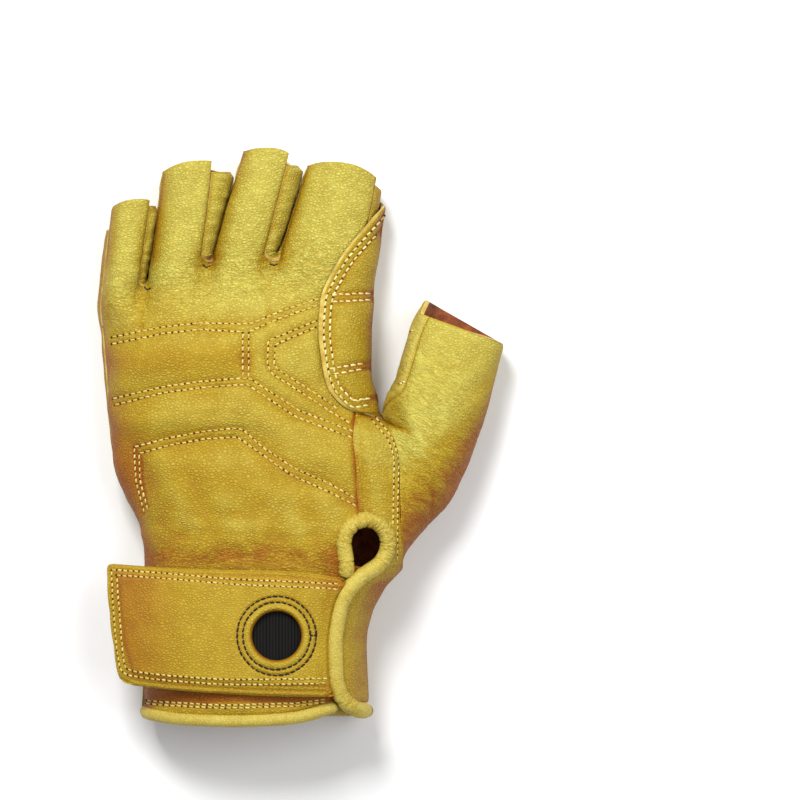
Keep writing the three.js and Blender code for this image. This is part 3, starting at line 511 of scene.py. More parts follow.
# %% [markdown]
# ## Shader maths as Python
# A leather shader is a sum of small effects. Built node by node it is hard to read, so it is
# written as an expression: the class wraps one socket, and its signs add Math nodes. Every other
# node comes from one method.


# %% Sockets with signs, and nodes from one method
class Wire:
    """A socket of a node tree, on which +, -, * and abs add Math nodes."""

    def __init__(self, tree, socket):
        self.tree, self.socket = tree, socket

    def maths(self, operation, a, b):
        """A Math node on two numbers or wires."""
        return node(self.tree, "ShaderNodeMath", {"operation": operation}, {0: a, 1: b})

    def __add__(self, other):
        return self.maths("ADD", self, other)

    def __sub__(self, other):
        return self.maths("SUBTRACT", self, other)

    def __rsub__(self, other):
        return self.maths("SUBTRACT", other, self)

    def __mul__(self, other):
        return self.maths("MULTIPLY", self, other)

    def __abs__(self):
        return node(self.tree, "ShaderNodeMath", {"operation": "ABSOLUTE"}, {0: self})

    __radd__, __rmul__ = __add__, __mul__

    def curved(self, start, end):
        """The value between two stops (place, value), joined smoothly by a Map Range node."""
        return node(self.tree, "ShaderNodeMapRange", {"interpolation_type": "SMOOTHSTEP"},
                    {0: self, 1: start[0], 2: end[0], 3: start[1], 4: end[1]})


def node(tree, kind, settings, values, out=0):
    """Adds a node, gives it its settings and then its sockets' values or links, and returns an output."""
    made = tree.nodes.new(kind)
    for key, value in settings.items():
        setattr(made, key, value)
    for key, value in values.items():
        if isinstance(value, Wire):
            tree.links.new(value.socket, made.inputs[key])
        else:
            made.inputs[key].default_value = value
    return Wire(tree, made.outputs[out]) if len(made.outputs) else made


print("Wire signs ready")


# %% Short names for common nodes
def blend_colour(tree, factor, a, b, kind="MIX"):
    """A Mix node on two colours."""
    return node(tree, "ShaderNodeMix", {"data_type": "RGBA", "blend_type": kind},
                {0: factor, 6: a, 7: b}, out=2)


def new_material(name):
    """An empty material, its tree and the place of the shaded point on the object."""
    material = bpy.data.materials.new(name)
    material.use_nodes = True
    tree = material.node_tree
    tree.nodes.clear()
    return material, tree, node(tree, "ShaderNodeTexCoord", {}, {}, out=3)


def attribute(tree, key):
    """A mark of the mesh, read at the shaded point."""
    return node(tree, "ShaderNodeAttribute", {"attribute_name": key}, {}, out=2)


def vector(tree, operation, *values):
    """A Vector Math node on vectors or wires."""
    return node(tree, "ShaderNodeVectorMath", {"operation": operation}, dict(enumerate(values)))


def bump(tree, strength, distance, height):
    """A normal bent by a height."""
    return node(tree, "ShaderNodeBump", {}, {"Strength": strength, "Distance": distance, "Height": height})


def finish_material(tree, values):
    """The Principled shader with the given sockets, joined to the output."""
    shader = node(tree, "ShaderNodeBsdfPrincipled", {}, values)
    node(tree, "ShaderNodeOutputMaterial", {}, {"Surface": shader})


def plain_material(name, colour, rough):
    """One matt colour."""
    material, tree, _ = new_material(name)
    finish_material(tree, {"Base Color": colour, "Roughness": rough, "Specular IOR Level": 0.1})
    return material


def linear(red, green, blue):
    """A colour given as 0 to 255 screen values, as the shader wants it."""
    c = np.array([red, green, blue]) / 255
    c = np.where(c <= 0.04045, c / 12.92, ((c + 0.055) / 1.055) ** 2.4)
    return (*c.tolist(), 1.0)


def noise_wire(tree, place, scale, detail=2.0, rough=0.5):
    """A Noise node's value."""
    return node(tree, "ShaderNodeTexNoise", {}, {"Vector": place, "Scale": scale, "Detail": detail,
                                                 "Roughness": rough})


print("shader helpers ready")

# %% [markdown]
# ## Grain leather
# Goatskin has a pebbled grain: small raised cells with darker valleys. A photo of leather could be
# wrapped round the glove, but it would stretch and show its seams; noise in the object's own space
# doesn't. Cell noise gives the cells, slower noise bends them and lets the dye drift from lemon to
# amber, and the tone marked on each mesh darkens the seams and paints shade into the folds, the
# hollows, the slopes and under the strap.


# %% Leather and suede shaders
def fold_lines(tree, place, turn, size, warp):
    """Fine folds along one direction: dark lines where stretched noise crosses its middle value."""
    turned_place = node(tree, "ShaderNodeVectorRotate", {"rotation_type": "Z_AXIS"},
                        {"Vector": place, "Angle": turn})
    bent = vector(tree, "MULTIPLY_ADD", warp, (0.0, 0.0026, 0.0), turned_place)
    long = vector(tree, "MULTIPLY", bent, (0.16 * size, size, 0.16 * size))
    return abs(noise_wire(tree, long, 1.0, 1.5, 0.5) - 0.5).curved((0.0, 1.0), (0.075, 0.0))


def leather(name, light, mid, deep, grain=1.0, cell=1000.0, rough=0.5):
    """Grain leather: colour by tone and noise, bump by cells and folds, roughness by the valleys."""
    material, tree, place = new_material(name)
    tone, across, slope = (attribute(tree, key) for key in ("tone", "across", "slope"))
    drift = noise_wire(tree, place, 45.0, 4.0, 0.6)
    patchy = noise_wire(tree, place, 160.0, 2.0, 0.5)
    warp = node(tree, "ShaderNodeTexNoise", {}, {"Vector": place, "Scale": 330.0, "Detail": 2.0}, out=1)
    bent = vector(tree, "MULTIPLY_ADD", warp, (0.0013, 0.0013, 0.0013), place)
    wide = vector(tree, "MULTIPLY", bent, (0.75, 1.2, 1.0))
    edge = node(tree, "ShaderNodeTexVoronoi", {"feature": "DISTANCE_TO_EDGE"},
                {"Vector": wide, "Scale": cell})
    fine = noise_wire(tree, place, 2300.0, 2.0, 0.6)
    pebble = edge.curved((0.0, 0.0), (0.32, 1.0))
    folds = (fold_lines(tree, place, 0.0, 1500.0, warp) * across
             + fold_lines(tree, place, 0.52, 1350.0, warp) * slope)
    # the tone brings each mesh's painted shade; the fold lines add painted shade of their own, the drift
    # is dye
    shade = tone + (drift - 0.5) * 0.5 + folds * 0.14
    colour = blend_colour(tree, shade.curved((-0.9, 0.0), (0.25, 1.0)), light, mid)
    colour = blend_colour(tree, shade.curved((0.1, 0.0), (1.15, 1.0)), colour, deep)
    worn = patchy.curved((0.3, 0.7), (0.7, 1.0))
    valley = (1.0 - pebble) * worn * (1.0 - slope * 0.45) * 0.55 + (fine - 0.45) * 0.6 + folds * 0.22
    shadow = blend_colour(tree, 1.0, colour, (0.66, 0.52, 0.27, 1.0), "MULTIPLY")
    colour = blend_colour(tree, valley.curved((0.0, 0.0), (0.7, 0.8)), colour, shadow)
    height = pebble * worn * (0.7 * grain) + fine * (0.3 * grain) - folds * 0.55
    finish_material(tree, {"Base Color": colour, "Roughness": (1.0 - pebble) * 0.16 + rough,
                           "Normal": bump(tree, 0.8, 0.00036, height), "Specular IOR Level": 0.26})
    return material


def suede(name, colour, dark):
    """The leather's flesh side: matt, napped, blotchy brown."""
    material, tree, place = new_material(name)
    blotch = noise_wire(tree, place, 260.0, 3.0, 0.6)
    nap = noise_wire(tree, place, 2200.0, 3.0, 0.7)
    mixed = blend_colour(tree, blotch.curved((0.3, 0.0), (0.7, 1.0)), colour, dark)
    finish_material(tree, {"Base Color": mixed, "Roughness": 0.95, "Normal": bump(tree, 0.6, 0.0003, nap),
                           "Sheen Weight": 0.3})
    return material


print("leather and suede shaders ready")

# %% The glove's leathers
LIGHT, MID, DEEP = linear(196, 187, 84), linear(176, 148, 27), linear(154, 89, 4)
hand_leather = leather("hand_leather", LIGHT, MID, DEEP)
palm_leather = leather("palm_leather", LIGHT, MID, DEEP, grain=1.1, cell=900.0)
strap_leather = leather("strap_leather", LIGHT, MID, DEEP, grain=0.8, cell=1050.0, rough=0.48)
binding_leather = leather("binding_leather", linear(206, 196, 104), linear(190, 168, 60),
                          linear(148, 90, 20), grain=0.45, cell=1500.0, rough=0.44)
inside_suede = suede("inside_suede", linear(158, 84, 38), linear(106, 50, 20))
cut_edge = suede("cut_edge", linear(206, 184, 92), linear(172, 138, 50))
FINISH = [hand_leather, inside_suede, cut_edge]
print("leathers:", [m.name for m in (hand_leather, palm_leather, strap_leather, binding_leather)])

# %% [markdown]
# ## One comb-shaped sheet from the cuff into four fingers
# The back and the palm are each cut in one piece with their fingers, like a comb. Modelled as five
# pieces they would show joints across the knuckles, so every column of one grid belongs to a finger
# or to the gap between two. Below the crotches all columns follow the hand's tube, above them each
# follows its finger, and in between the one changes smoothly into the other.


# %% Comb grid
def comb(first, last, cells, gap_cells, rows, seam, first_angle, start, trim, under=False):
    """The grid's mask, and a function of depth that gives its points."""
    parts = []
    for k, n in enumerate(cells):
        s = np.linspace(0, 1, n + 1)
        parts.append(np.stack([0 * s + k, s, 0 * s + k, s, 0 * s]))
        if k < len(cells) - 1:
            w = np.linspace(0, 1, gap_cells + 1)[1:-1]
            parts.append(np.stack([0 * w + k, 0 * w + 1, 0 * w + k + 1, 0 * w, w]))
    ka, sa, kb, sb, w = np.concatenate(parts, 1)
    ka, kb = ka.astype(int), kb.astype(int)

    def place(y, depth):
        a = finger(ka, mix(first(ka, y), last(ka, y), sa), y, depth)
        b = finger(kb, mix(first(kb, y), last(kb, y), sb), y, depth)
        return mix(a, b, w[:, None])

    root = crotch_line(place(np.full(len(ka), CROTCH_REACH), 0.0)[:, 0])
    root = crotch_line(place(root, 0.0)[:, 0]) - 1.8 * np.sin(np.pi * w)
    top = CROTCH_REACH + FINGER_REACH * FINGERS[ka, 4]
    at_end = signed_power(np.cos(mix(first(ka, top), last(ka, top), sa)), 2 / FINGER_SQUARE)
    end = finger_end(ka, (1 + at_end) / 2) - trim
    p = place(root, 0.0)
    angle = angle_at(p[:, 0], root)
    if under:
        angle = np.where(p[:, 2] <= hand_seam(root), -angle, angle)
    angle[0], angle[-1] = first_angle, seam(root[-1])
    body_rows, finger_rows = rows
    j = np.arange(body_rows + finger_rows + 1)[:, None]
    y = np.where(j <= body_rows, mix(start, root, j / body_rows),
                 mix(root, end, (j - body_rows) / finger_rows))
    body = j[:-1] < body_rows
    same = (w[:-1] == 0) & (w[1:] == 0) & (ka[:-1] == ka[1:])
    has = np.broadcast_to(body | same, (len(j) - 1, len(ka) - 1)).copy()

    def points(depth):
        spread = (seam(np.minimum(y, root[-1])) - first_angle) / (angle[-1] - first_angle)
        on_hand = hand(first_angle + (angle - first_angle) * spread, y, depth)
        return mix(on_hand, place(y, depth), smooth((y - root + BLEND) / BLEND)[..., None])

    return has, points


print("a comb has", len(FINGERS), "fingers and", len(FINGERS) - 1, "gaps")


# %% Rims and the keyhole
def rim_distance(p, has):
    """How far each point is from the sheet's rim, measured along its row and its column."""
    cell = np.pad(has, 1)
    around = cell[:-1, :-1].astype(int) + cell[:-1, 1:] + cell[1:, :-1] + cell[1:, 1:]
    rim = (around > 0) & (around < 4)
    best = np.full(p.shape[:2], 1e3)
    for axis in (0, 1):
        step = np.linalg.norm(np.diff(p, axis=axis), axis=-1)
        along = np.cumsum(np.insert(step, 0, 0, axis=axis), axis=axis)
        before = np.maximum.accumulate(np.where(rim, along, -1e3), axis=axis)
        after = np.flip(np.minimum.accumulate(np.flip(np.where(rim, along, 1e4), axis), axis=axis), axis)
        best = np.minimum(best, np.minimum(along - before, after - along))
    return best


def keyhole(y):
    """Half the keyhole's width at height y: an ellipse above its middle, squarer below it."""
    t = (y - VENT_Y) / VENT_HALF_Y
    return VENT_HALF_X * np.sqrt(np.clip(1 - np.where(t > 0, t**2, t**4), 0, 1))


def back_edge(y):
    """Where the back ends on the thumb's side: the seam, or the keyhole's left side."""
    return np.minimum(back_seam(y) - GAP / 2, VENT_X - keyhole(y) + (keyhole(y) == 0) * 99)


def palm_edge(y):
    """Where the palm's sheet ends on the back: the seam, or the keyhole's right side."""
    return np.maximum(back_seam(y) + 0.2 * GAP, VENT_X + keyhole(y) - (keyhole(y) == 0) * 99)


SIDE_ANGLE = np.pi - 0.5 * GAP / (0.33 * HAND_HEIGHT)
print("keyhole:", round(2 * VENT_HALF_X, 1), "mm wide")

# %% [markdown]
# ## The back of the hand
# The largest piece: the quilted back with the backs of the four fingers. Bump alone would leave its
# outline flat in a raking light, so it gets the finest grid and its sewn rows, pillows and folds
# are all real shape. Its edge is turned down at the finger ends and along the seams, where its tone
# is also marked darker, and the marks on the mesh carry that to the shader, together with painted
# shade in its grooves, creases and slopes and under the strap.


# %% Relief of the back
def turned(x, y, degrees):
    """Coordinates along and across a direction of the plan."""
    c, s = math.cos(degrees * DEG), math.sin(degrees * DEG)
    return x * c + y * s, y * c - x * s


def creases(x, y, degrees, width, length, seed):
    """Fine folds that run in one direction: the sharp valleys where stretched noise crosses zero."""
    u, v = turned(x, y, degrees)
    bend = 1.5 * noise(u, v, 3 * width, seed + 3)
    return -bell(noise(u / length * width, v + bend, width, seed), 0.28)


GROOVE_DEPTH, GROOVE_HALF, PILLOW_HEIGHT, PILLOW_HALF = 0.55, 0.9, 1.25, 5.5


def steepness(p):
    """How far the leather leans away from level, 0 to 1."""
    return 1 - np.abs(normals_of(p)[..., 2])


def relax(p, where, passes=60):
    """Draws each point towards the mean of its four neighbours, as far as where says, several times."""
    for _ in range(passes):
        mean = p.copy()
        mean[1:-1, 1:-1] = (p[:-2, 1:-1] + p[2:, 1:-1] + p[1:-1, :-2] + p[1:-1, 2:]) / 4
        p = mix(p, mean, where[..., None])
    return p


def back_relief(x, y):
    """Grooves at the sewn rows, pillows between them, waves and folds; where the rows are; the folds."""
    d, along = nearest(x, y, quilt_lines)
    inside = smooth((y + 34) / 12) * smooth((44 - y) / 10) * smooth((x + 46) / 6)
    pucker = 0.10 * bell(d, 1.9) * np.cos(TURN * along / 2.4)
    groove = -GROOVE_DEPTH * bell(d, GROOVE_HALF) + pucker
    pillow = PILLOW_HEIGHT * (1 - bell(d, PILLOW_HALF)) * inside
    waves = 0.75 * noise(x, y, 21, 1) + 0.3 * noise(x, 1.3 * y, 8, 2)
    level = 0.45 * noise(0.35 * x, y, 4.5, 4) + 0.2 * noise(0.5 * x, y + 0.2 * x, 2.2, 5)
    wrist = smooth((-24 - y) / 14) * level
    folds = noise(x + 0.45 * y, 0.3 * y, 7, 16) * smooth((-6 - y) / 8) * smooth((y + 50) / 10)
    return groove + pillow + waves + wrist + 0.4 * folds, bell(d, 1.3), folds


print("relief helpers ready")

# %% Back panel's shape
COLUMNS, GAP_COLUMNS, ROWS = [22, 32, 31, 44], 8, (226, 54)
hem_start = hem_line(np.linspace(-36, 33, sum(COLUMNS) + len(COLUMNS) + 3 * (GAP_COLUMNS - 1))) + 0.8
back_has, back_points = comb(
    lambda k, y: np.where(k == 0, np.pi, LEFT_SEAM), right_seam, COLUMNS, GAP_COLUMNS, ROWS,
    lambda y: angle_at(back_edge(y), y), SIDE_ANGLE, hem_start, 0.0)
outer, inner = back_points(0.0), back_points(LEATHER)
rim = rim_distance(outer, back_has)
x, y = outer[..., 0], outer[..., 1]
# below the crotches the sheet is drawn smooth
below_crotch = smooth((53 - y) / 4) * sum(bell(x - middle, 6) for middle in CROTCH_MIDDLES)
relaxed = relax(outer, below_crotch * smooth((y - 20) / 8) * smooth((crotch_line(x) - 0.8 - y) / 3))
outer, inner = relaxed, inner + relaxed - outer

# relief: none at the rim, pressed down under the lobe, creased at the finger roots
relief, row_groove_shade, wrist_folds = back_relief(x, y)
knuckle = smooth((y - 34) / 14)
creased = creases(x, y, 8, 1.9, 11, 21) * smooth((y - 38) / 8) * smooth((62 - y) / 8) * 0.16
under_lobe = smooth((x - lobe_x(y) + 2.5) / 3) * smooth((y - 2) / 3)
relief = relief * smooth(rim / 3) * (1 - under_lobe) - 0.3 * under_lobe + creased - 0.4 * bell(rim, 0.7)
print("relief from", relief.min().round(2), "to", relief.max().round(2), "mm")

# %% Back panel's tone
# painted shade: darker in the rows' grooves, on slopes, in the creases and folds, towards the left
# margin, under the strap, in the lower of two bands along its top edge and where its shadow falls on
# the hem; darker also at seams and edges and in the upper band; paler on top, partly as painted highlights
under_strap_shade = smooth((-34 - y) / 12)
band = bell(y - 20, 5) * smooth((6 - x) / 6) + 0.8 * bell(y + 47, 5)
hem_shade = bell(y + 90.5, 2.6) * smooth((34 - x) / 4)
slope_shade = steepness(outer)
slope_shade = (1.15 * slope_shade**1.3 * (1 - 0.5 * below_crotch * smooth((y - 28) / 6))
        + 0.9 * slope_shade * smooth((y - 48) / 8))
# painted highlights: paler over the knuckles' middle and in a second patch below and right of it
pale = bell(x + 1, 15) * bell(y - 42, 9) + 0.8 * bell(x - 18, 9) * bell(y - 21, 7)
amber = bell(y + 20, 8) * smooth((20 - x) / 12)
seam_line = bell(rim, 0.35) * smooth((x - 28) / 4) * smooth((14 - y) / 8)
tone = (0.12 * row_groove_shade + 0.4 * bell(rim, 0.6) + 1.2 * seam_line + slope_shade
        + 0.25 * under_strap_shade + 0.5 * smooth((x - 24) / 8) * under_strap_shade - 0.6 * knuckle
        + 0.45 * band + 2.4 * hem_shade + 0.55 * smooth((-28 - x) / 12) * smooth((14 - y) / 20)
        - 0.35 * pale + 0.25 * amber - 0.2 * wrist_folds + 0.12 * smooth((28 - y) / 6) - 0.15
        - 0.9 * creased)
across = 0.25 + 0.75 * bell(y - crotch_line(x) + 6, 9) + 0.9 * bell(y + 46, 5) + 0.3 * knuckle
back = sheet("back_of_hand", *raised(outer, inner, relief), back_has, FINISH, tone, reach=5, hollow_shade=0.45,
             across=across)

# %% [markdown]
# ## The palm's sheet
# The palm wraps round the thumb's side to the seam on the back. The hole for the thumb could be cut
# with a Boolean, which leaves ragged faces; instead the cells whose corners all lie beyond the
# thumb's seam are left out, and the rest are pulled onto the seam.


# %% Palm panel
def open_for_thumb(outer, inner, has, aside, top):
    """Pulls both faces' points beyond the thumb's seam onto it and leaves out the cells between them."""
    for points in (inner, outer):
        x, y = points[..., 0], points[..., 1]
        beyond = (x > thumb_seam(y) - aside) & (y > THUMB_BOTTOM) & (y < top)
        points[..., 0] = np.where(beyond, thumb_seam(y) - aside, x)
    return has & ~(beyond[:-1, :-1] & beyond[1:, :-1] & beyond[:-1, 1:] & beyond[1:, 1:])


def flap_rise(x, y):
    """How much the flap rides up over the strap's end: a window along times one across."""
    along = smooth((up_at(-0.44) - y) / (0.15 * CUFF_REACH))
    return FLAP_LIFT * along * smooth((hand_right(y) - x) / (0.15 * PALM_HALF))


def palm_sheet_points(points, depth):
    """The palm comb's points with the flap's rise added on the back of the wrist."""
    p = points(depth)
    lift = (p[..., 2] > hand_seam(p[..., 1])) & (p[..., 0] > 0)
    p[..., 2] += lift * flap_rise(p[..., 0], p[..., 1])
    return p


def front_left(k, y):
    """The angle at which finger k's front begins; the little finger's begins beside the back."""
    return np.where(k == 0, -np.pi + gap_angle, FRONT_LEFT)


PALM_OPEN_TOP, OVER_OPEN_TOP, OVER_START, OVER_ROW = 1.6, 4.3, -36.6, 0.68
gap_angle = GAP / (FINGERS[0, 3] * PALM_HALF)
palm_has, palm_points = comb(
    front_left,
    lambda k, y: np.where(k == 3, right_seam(k, y) - gap_angle, FRONT_RIGHT),
    [14, 20, 20, 72], 5, (170, 34), lambda y: angle_at(palm_edge(y), y), -SIDE_ANGLE,
    HEM_UP + HEM_ROLL + GAP, 0.07 * FINGER_REACH, under=True)
outer = palm_sheet_points(palm_points, 0.0)
inner = palm_sheet_points(palm_points, LEATHER)
rim = rim_distance(outer, palm_has)
x, y, z = (outer[..., c] for c in range(3))
low = smooth((z - REST - 0.5) / 4)
waves = 0.5 * noise(x + z, y, 15, 6) + 0.22 * noise(x + z, y, 6, 7)
relief = waves * low * smooth(rim / 3) - 0.35 * low * bell(rim, 0.7)
outer, inner = raised(outer, inner, relief)
wrist_side = smooth((x - 47 + 0.25 * (y + 40)) / 8) * smooth((-12 - y) / 16) * smooth((y + 78) / 20)
# painted shade on slopes; darker also at the rim, towards the cuff and on the wrist's thumb side
tone = (0.35 * bell(rim, 0.6) + 0.95 * steepness(outer) ** 1.5 - 0.1 + 0.25 * smooth((-44 - y) / 8)
        + 0.75 * wrist_side)
palm_has = open_for_thumb(outer, inner, palm_has, 0.0, PALM_OPEN_TOP)
palm = sheet("palm_and_thumb_side", outer, inner, palm_has, FINISH, tone, across=0.4,
             slope=0.35 * smooth((y + 44) / 20))

# %% [markdown]
# ## The second layer with its lobe
# The second layer saves the palm from the rope. On the real glove it is a piece of its own, glued
# and sewn on. It could be copied from the palm and scaled, but that would change its gap, so it is
# the same comb a little further out. On the back of the index finger it ends in a lobe with a raw
# edge, shown as a sloping pale band.


# %% Second layer with its lobe
def lobe_angle_on_hand(y):
    """The angle of the second layer's edge on the hand: where the tube lies at the lobe's edge."""
    edge = angle_at(np.minimum(lobe_x(y), hand_right(y) - 0.08), y)
    return mix(edge, -5 * DEG, smooth((3.5 - y) / 5))


def lobe_angle_on_finger(y):
    """The same on the index finger, passing under its side above the lobe."""
    middle, half = finger_width(3, along_finger(3, y))
    across = np.clip((lobe_x(y) - middle) / (half + REST), -1, 1)
    return np.arccos(signed_power(across, FINGER_SQUARE / 2)) - 0.5 * smooth((y - 68) / 10)


over_has, over_points = comb(
    front_left,
    lambda k, y: np.where(k == 3, lobe_angle_on_finger(y), FRONT_RIGHT),
    [12, 18, 18, 96], 4, (132, 40), lobe_angle_on_hand, -SIDE_ANGLE, OVER_START, COLLAR,
    under=True)

# near its first column and row the layer tucks down onto the palm, so that edge shows no step
steps = np.linalg.norm(np.diff(over_points(-GAP), axis=1), axis=-1)
run = np.cumsum(np.pad(steps, [(0, 0), (1, 0)]), axis=1)
rise = np.arange(run.shape[0])[:, None] * OVER_ROW
tuck = smooth(run / 4.5) * mix(smooth(rise / 12), 1, smooth((run - 6) / 8))
outer = over_points(-mix(0.15, REST, tuck))
inner = over_points(mix(0.6, -GAP, tuck))
rim = rim_distance(outer, over_has)
x, y, z = (outer[..., c] for c in range(3))
print("second layer reaches", outer[..., 1].min().round(1), "to", outer[..., 1].max().round(1), "mm")

# %% Lobe's sewn rows and sloping raw edge
lobe_rows = [beside(lobe_line, 2.0), beside(lobe_line, 4.2)]
lobe_cross = [[(28.7, 41.7), (44, 42.4)], [(29.0, 39.3), (44, 40.3)], [(27.9, 17.0), (44, 19.5)],
              [(29.3, 15.2), (44, 17.8)], [(35.6, 6.4), (44, 7.4)]]
d, along = nearest(x, y, [r[::4] for r in lobe_rows] + [np.array(c) for c in lobe_cross])
d = np.where(z > hand_seam(y), d, 99)
low = smooth((z - 0.6) / 4)
relief = low * (0.35 * noise(x + z, y, 13, 8) + 0.2 * noise(x + z, y, 5, 9)) * smooth(rim / 4)
relief += low * smooth(rim / 3) * 0.35 * (1 - bell(d, 3))
relief += -0.45 * bell(d, 0.9) * low + low * 0.1
lobe_side = np.arange(rim.shape[1]) > rim.shape[1] // 2
BEVEL, BEVEL_DEPTH = 1.25, 0.8
bevel = np.clip(1 - rim / BEVEL, 0, 1) * low * lobe_side
# painted shade in the rows' grooves and on slopes; darker also on the lobe's outer part
tone = 0.4 * bell(d, 1.1) + 0.8 * steepness(outer) ** 1.5 + 0.05
tone += 0.35 * smooth((x - 36) / 6) * smooth((40 - y) / 10) * smooth((y - 18) / 6)
outer, inner = raised(outer, inner, relief - BEVEL_DEPTH * bevel, low * 0.25)
over_has = open_for_thumb(outer, inner, over_has, GAP, OVER_OPEN_TOP)
PALM_FINISH = [palm_leather, inside_suede, cut_edge]
second = sheet("palm_second_layer", outer, inner, over_has, PALM_FINISH, tone, across=0.35, slope=0.3)

# the slope's faces take the cut edge's material
bevelled = ((rim < 1.0) & lobe_side)[:-1, :-1][over_has]
slots = np.zeros(len(second.data.polygons), np.int32)
second.data.polygons.foreach_get("material_index", slots)
slots[:len(bevelled)] = np.where(bevelled, 2, slots[:len(bevelled)])
second.data.polygons.foreach_set("material_index", slots)

# %% [markdown]
# ## Strips between the fingers
# Each strip runs down the side of one finger, round the crotch in a small bend and up the next
# finger. Its two sides use the fingers' own formula, so it fits the panels without any fitting by
# eye. It is soft and short of room, so it gathers: fine cross folds all along it, deeper in the
# bend.


# %% Grid of a strip
def whole(p):
    """The mask that keeps every cell of a grid of points."""
    return np.ones((p.shape[0] - 1, p.shape[1] - 1), bool)


def fourchette(k, rows=(46, 26), cols=16):
    """Grid points of the strip between fingers k and k + 1, as a function of depth."""
    near, far = FINGERS[k], FINGERS[k + 1]
    gap = 1.2 * GAP / (near[2] * PALM_HALF)
    share = np.linspace(0, 1, cols + 1)[None, :]
    middle = (near[0] + near[2] + far[0] - far[2]) / 2 * PALM_HALF
    root = float(crotch_line(middle))

    def on_near(y, depth):
        return finger(k, mix(FRONT_RIGHT + gap, right_seam(k, y) - gap, share), y, depth)

    def on_far(y, depth):
        turned_angle = mix(TURN + FRONT_LEFT - gap, LEFT_SEAM + gap, share)
        turned_angle = np.where(turned_angle > np.pi, turned_angle - TURN, turned_angle)
        return finger(k + 1, turned_angle, y, depth)

    spread = (on_far(root, 0.0)[0, -1, 0] - on_near(root, 0.0)[0, -1, 0]) / 2
    bend = root + spread - 0.9
    side_rows, bend_rows = rows

    def points(depth):
        t = np.linspace(0, 1, side_rows + 1)[:, None]
        down = on_near(mix(finger_end(k, 1.0) - 0.35, bend, t), depth)
        up = on_far(mix(bend, finger_end(k + 1, 0.0) - 0.35, t), depth)
        a, b = on_near(bend, depth), on_far(bend, depth)
        turn = np.pi * np.arange(1, bend_rows)[:, None] / bend_rows
        reach = (b[..., 0] - a[..., 0]) / 2
        arc = stack((a[..., 0] + b[..., 0]) / 2 - reach * np.cos(turn), bend - reach * np.sin(turn),
                    mix(a[..., 2], b[..., 2], (1 - np.cos(turn)) / 2))
        return np.concatenate([down, arc, up])

    return points


print("grid of a strip:", fourchette(0)(0.0).shape[:2])

# %% Three strips
FINGER_NAMES = ("little", "ring", "middle", "index")
STRIP_ROW, PUFFS = 0.55, (1.0, 1.35, 2.1)
strips = []
for k in range(3):
    strip_points = fourchette(k)
    outer, inner = strip_points(0.0), strip_points(LEATHER)
    has = whole(outer)
    rim = rim_distance(outer, has)
    length = np.arange(outer.shape[0])[:, None] * STRIP_ROW
    across = np.linspace(0, 1, outer.shape[1])[None, :]
    bend_near = bell(length - length.max() / 2, 7)
    folds = noise(length + 0 * across, across * 6, 1.5, 30 + k) * (0.24 + 0.3 * bend_near)
    near_side = smooth((0.55 - length / length.max()) / 0.1)
    puff = PUFFS[k] * np.sin(np.pi * across) ** 0.8 * (1 - bend_near) * near_side
    lip = 1.1 * bend_near * bell(across - 0.8, 0.25)
    relief = (folds + puff + lip) * smooth(rim / 1.6) - 0.3 * bell(rim, 0.8)
    # painted shade: darker in the fold valleys and round the bend at the crotch; darker also at the rim
    tone = -0.3 - 1.2 * folds + 0.5 * bell(rim, 0.7) + 1.2 * bend_near * smooth((0.7 - across) / 0.6)
    strips.append(sheet(f"strip_{FINGER_NAMES[k]}_{FINGER_NAMES[k + 1]}", *raised(outer, inner, relief),
                        has, FINISH, tone, reach=3, across=0.5))

# %% [markdown]
# ## The thumb
# The thumb leaves the hand at a curved seam and turns outwards. It could be a separate tube stuck
# into the palm, but the seam lies level with the leather round it, so the tube's first part is
# drawn onto the hand's. Its back, its front and the strip towards the index finger are three ranges
# of angles round it. Its leather is soft and wide, so fine folds fan out from the seam.


# %% Tube of the thumb
thumb_ix, thumb_ox = (curve(THUMB[:, 0], THUMB[:, c] * PALM_HALF) for c in (1, 3))
thumb_iy, thumb_oy = (curve(THUMB[:, 0], up_at(THUMB[:, c])) for c in (2, 4))
thumb_top = curve(THUMB[:, 0], THUMB[:, 5] * THUMB_HEIGHT)


def thumb(angle, along, depth=0.0):
    """A point of the thumb's tube: between two edges by cos, up by sin, on the hand's tube at the seam."""
    across = signed_power(np.cos(angle), 2 / THUMB_SQUARE)
    ix, iy, ox, oy = thumb_ix(along), thumb_iy(along), thumb_ox(along), thumb_oy(along)
    half = np.hypot(ox - ix, oy - iy) / 2
    share = (1 + across * (half - depth) / half) / 2
    x, y = mix(ix, ox, share), mix(iy, oy, share)
    near = np.clip(1 - along / 0.3, 0, 1)
    x = x + near**1.5 * (thumb_seam(y) - TUCK - x)
    seam = mix(hand_seam(0.0), 0.5 * THUMB_HEIGHT, smooth(along))
    up = np.abs(np.sin(angle)) ** (2 / THUMB_SQUARE)
    above = np.sin(angle) >= 0
    own = tube_height(above, seam, thumb_top(along) - seam, 1.2 * (seam - REST), up, depth)
    on_hand = height_at(x, y, depth, above)
    z = mix(own, on_hand, smooth(near) * mix(0.95, 0.4, np.abs(across) ** 6))
    return stack(x, y, z - 0.5 * smooth((near - 0.94) / 0.06))


def thumb_reach(angle):
    """How far along the thumb the leather reaches: the back is cut shorter towards the index finger."""
    inner = (1 - np.cos(angle)) / 2
    return 1 - THUMB_TRIM * smooth(3 * np.clip(np.sin(angle), 0, 1)) * inner**1.5


print("thumb's end:", thumb(np.array([0.0, np.pi]), np.array(1.0))[:, :2].round(1).tolist())


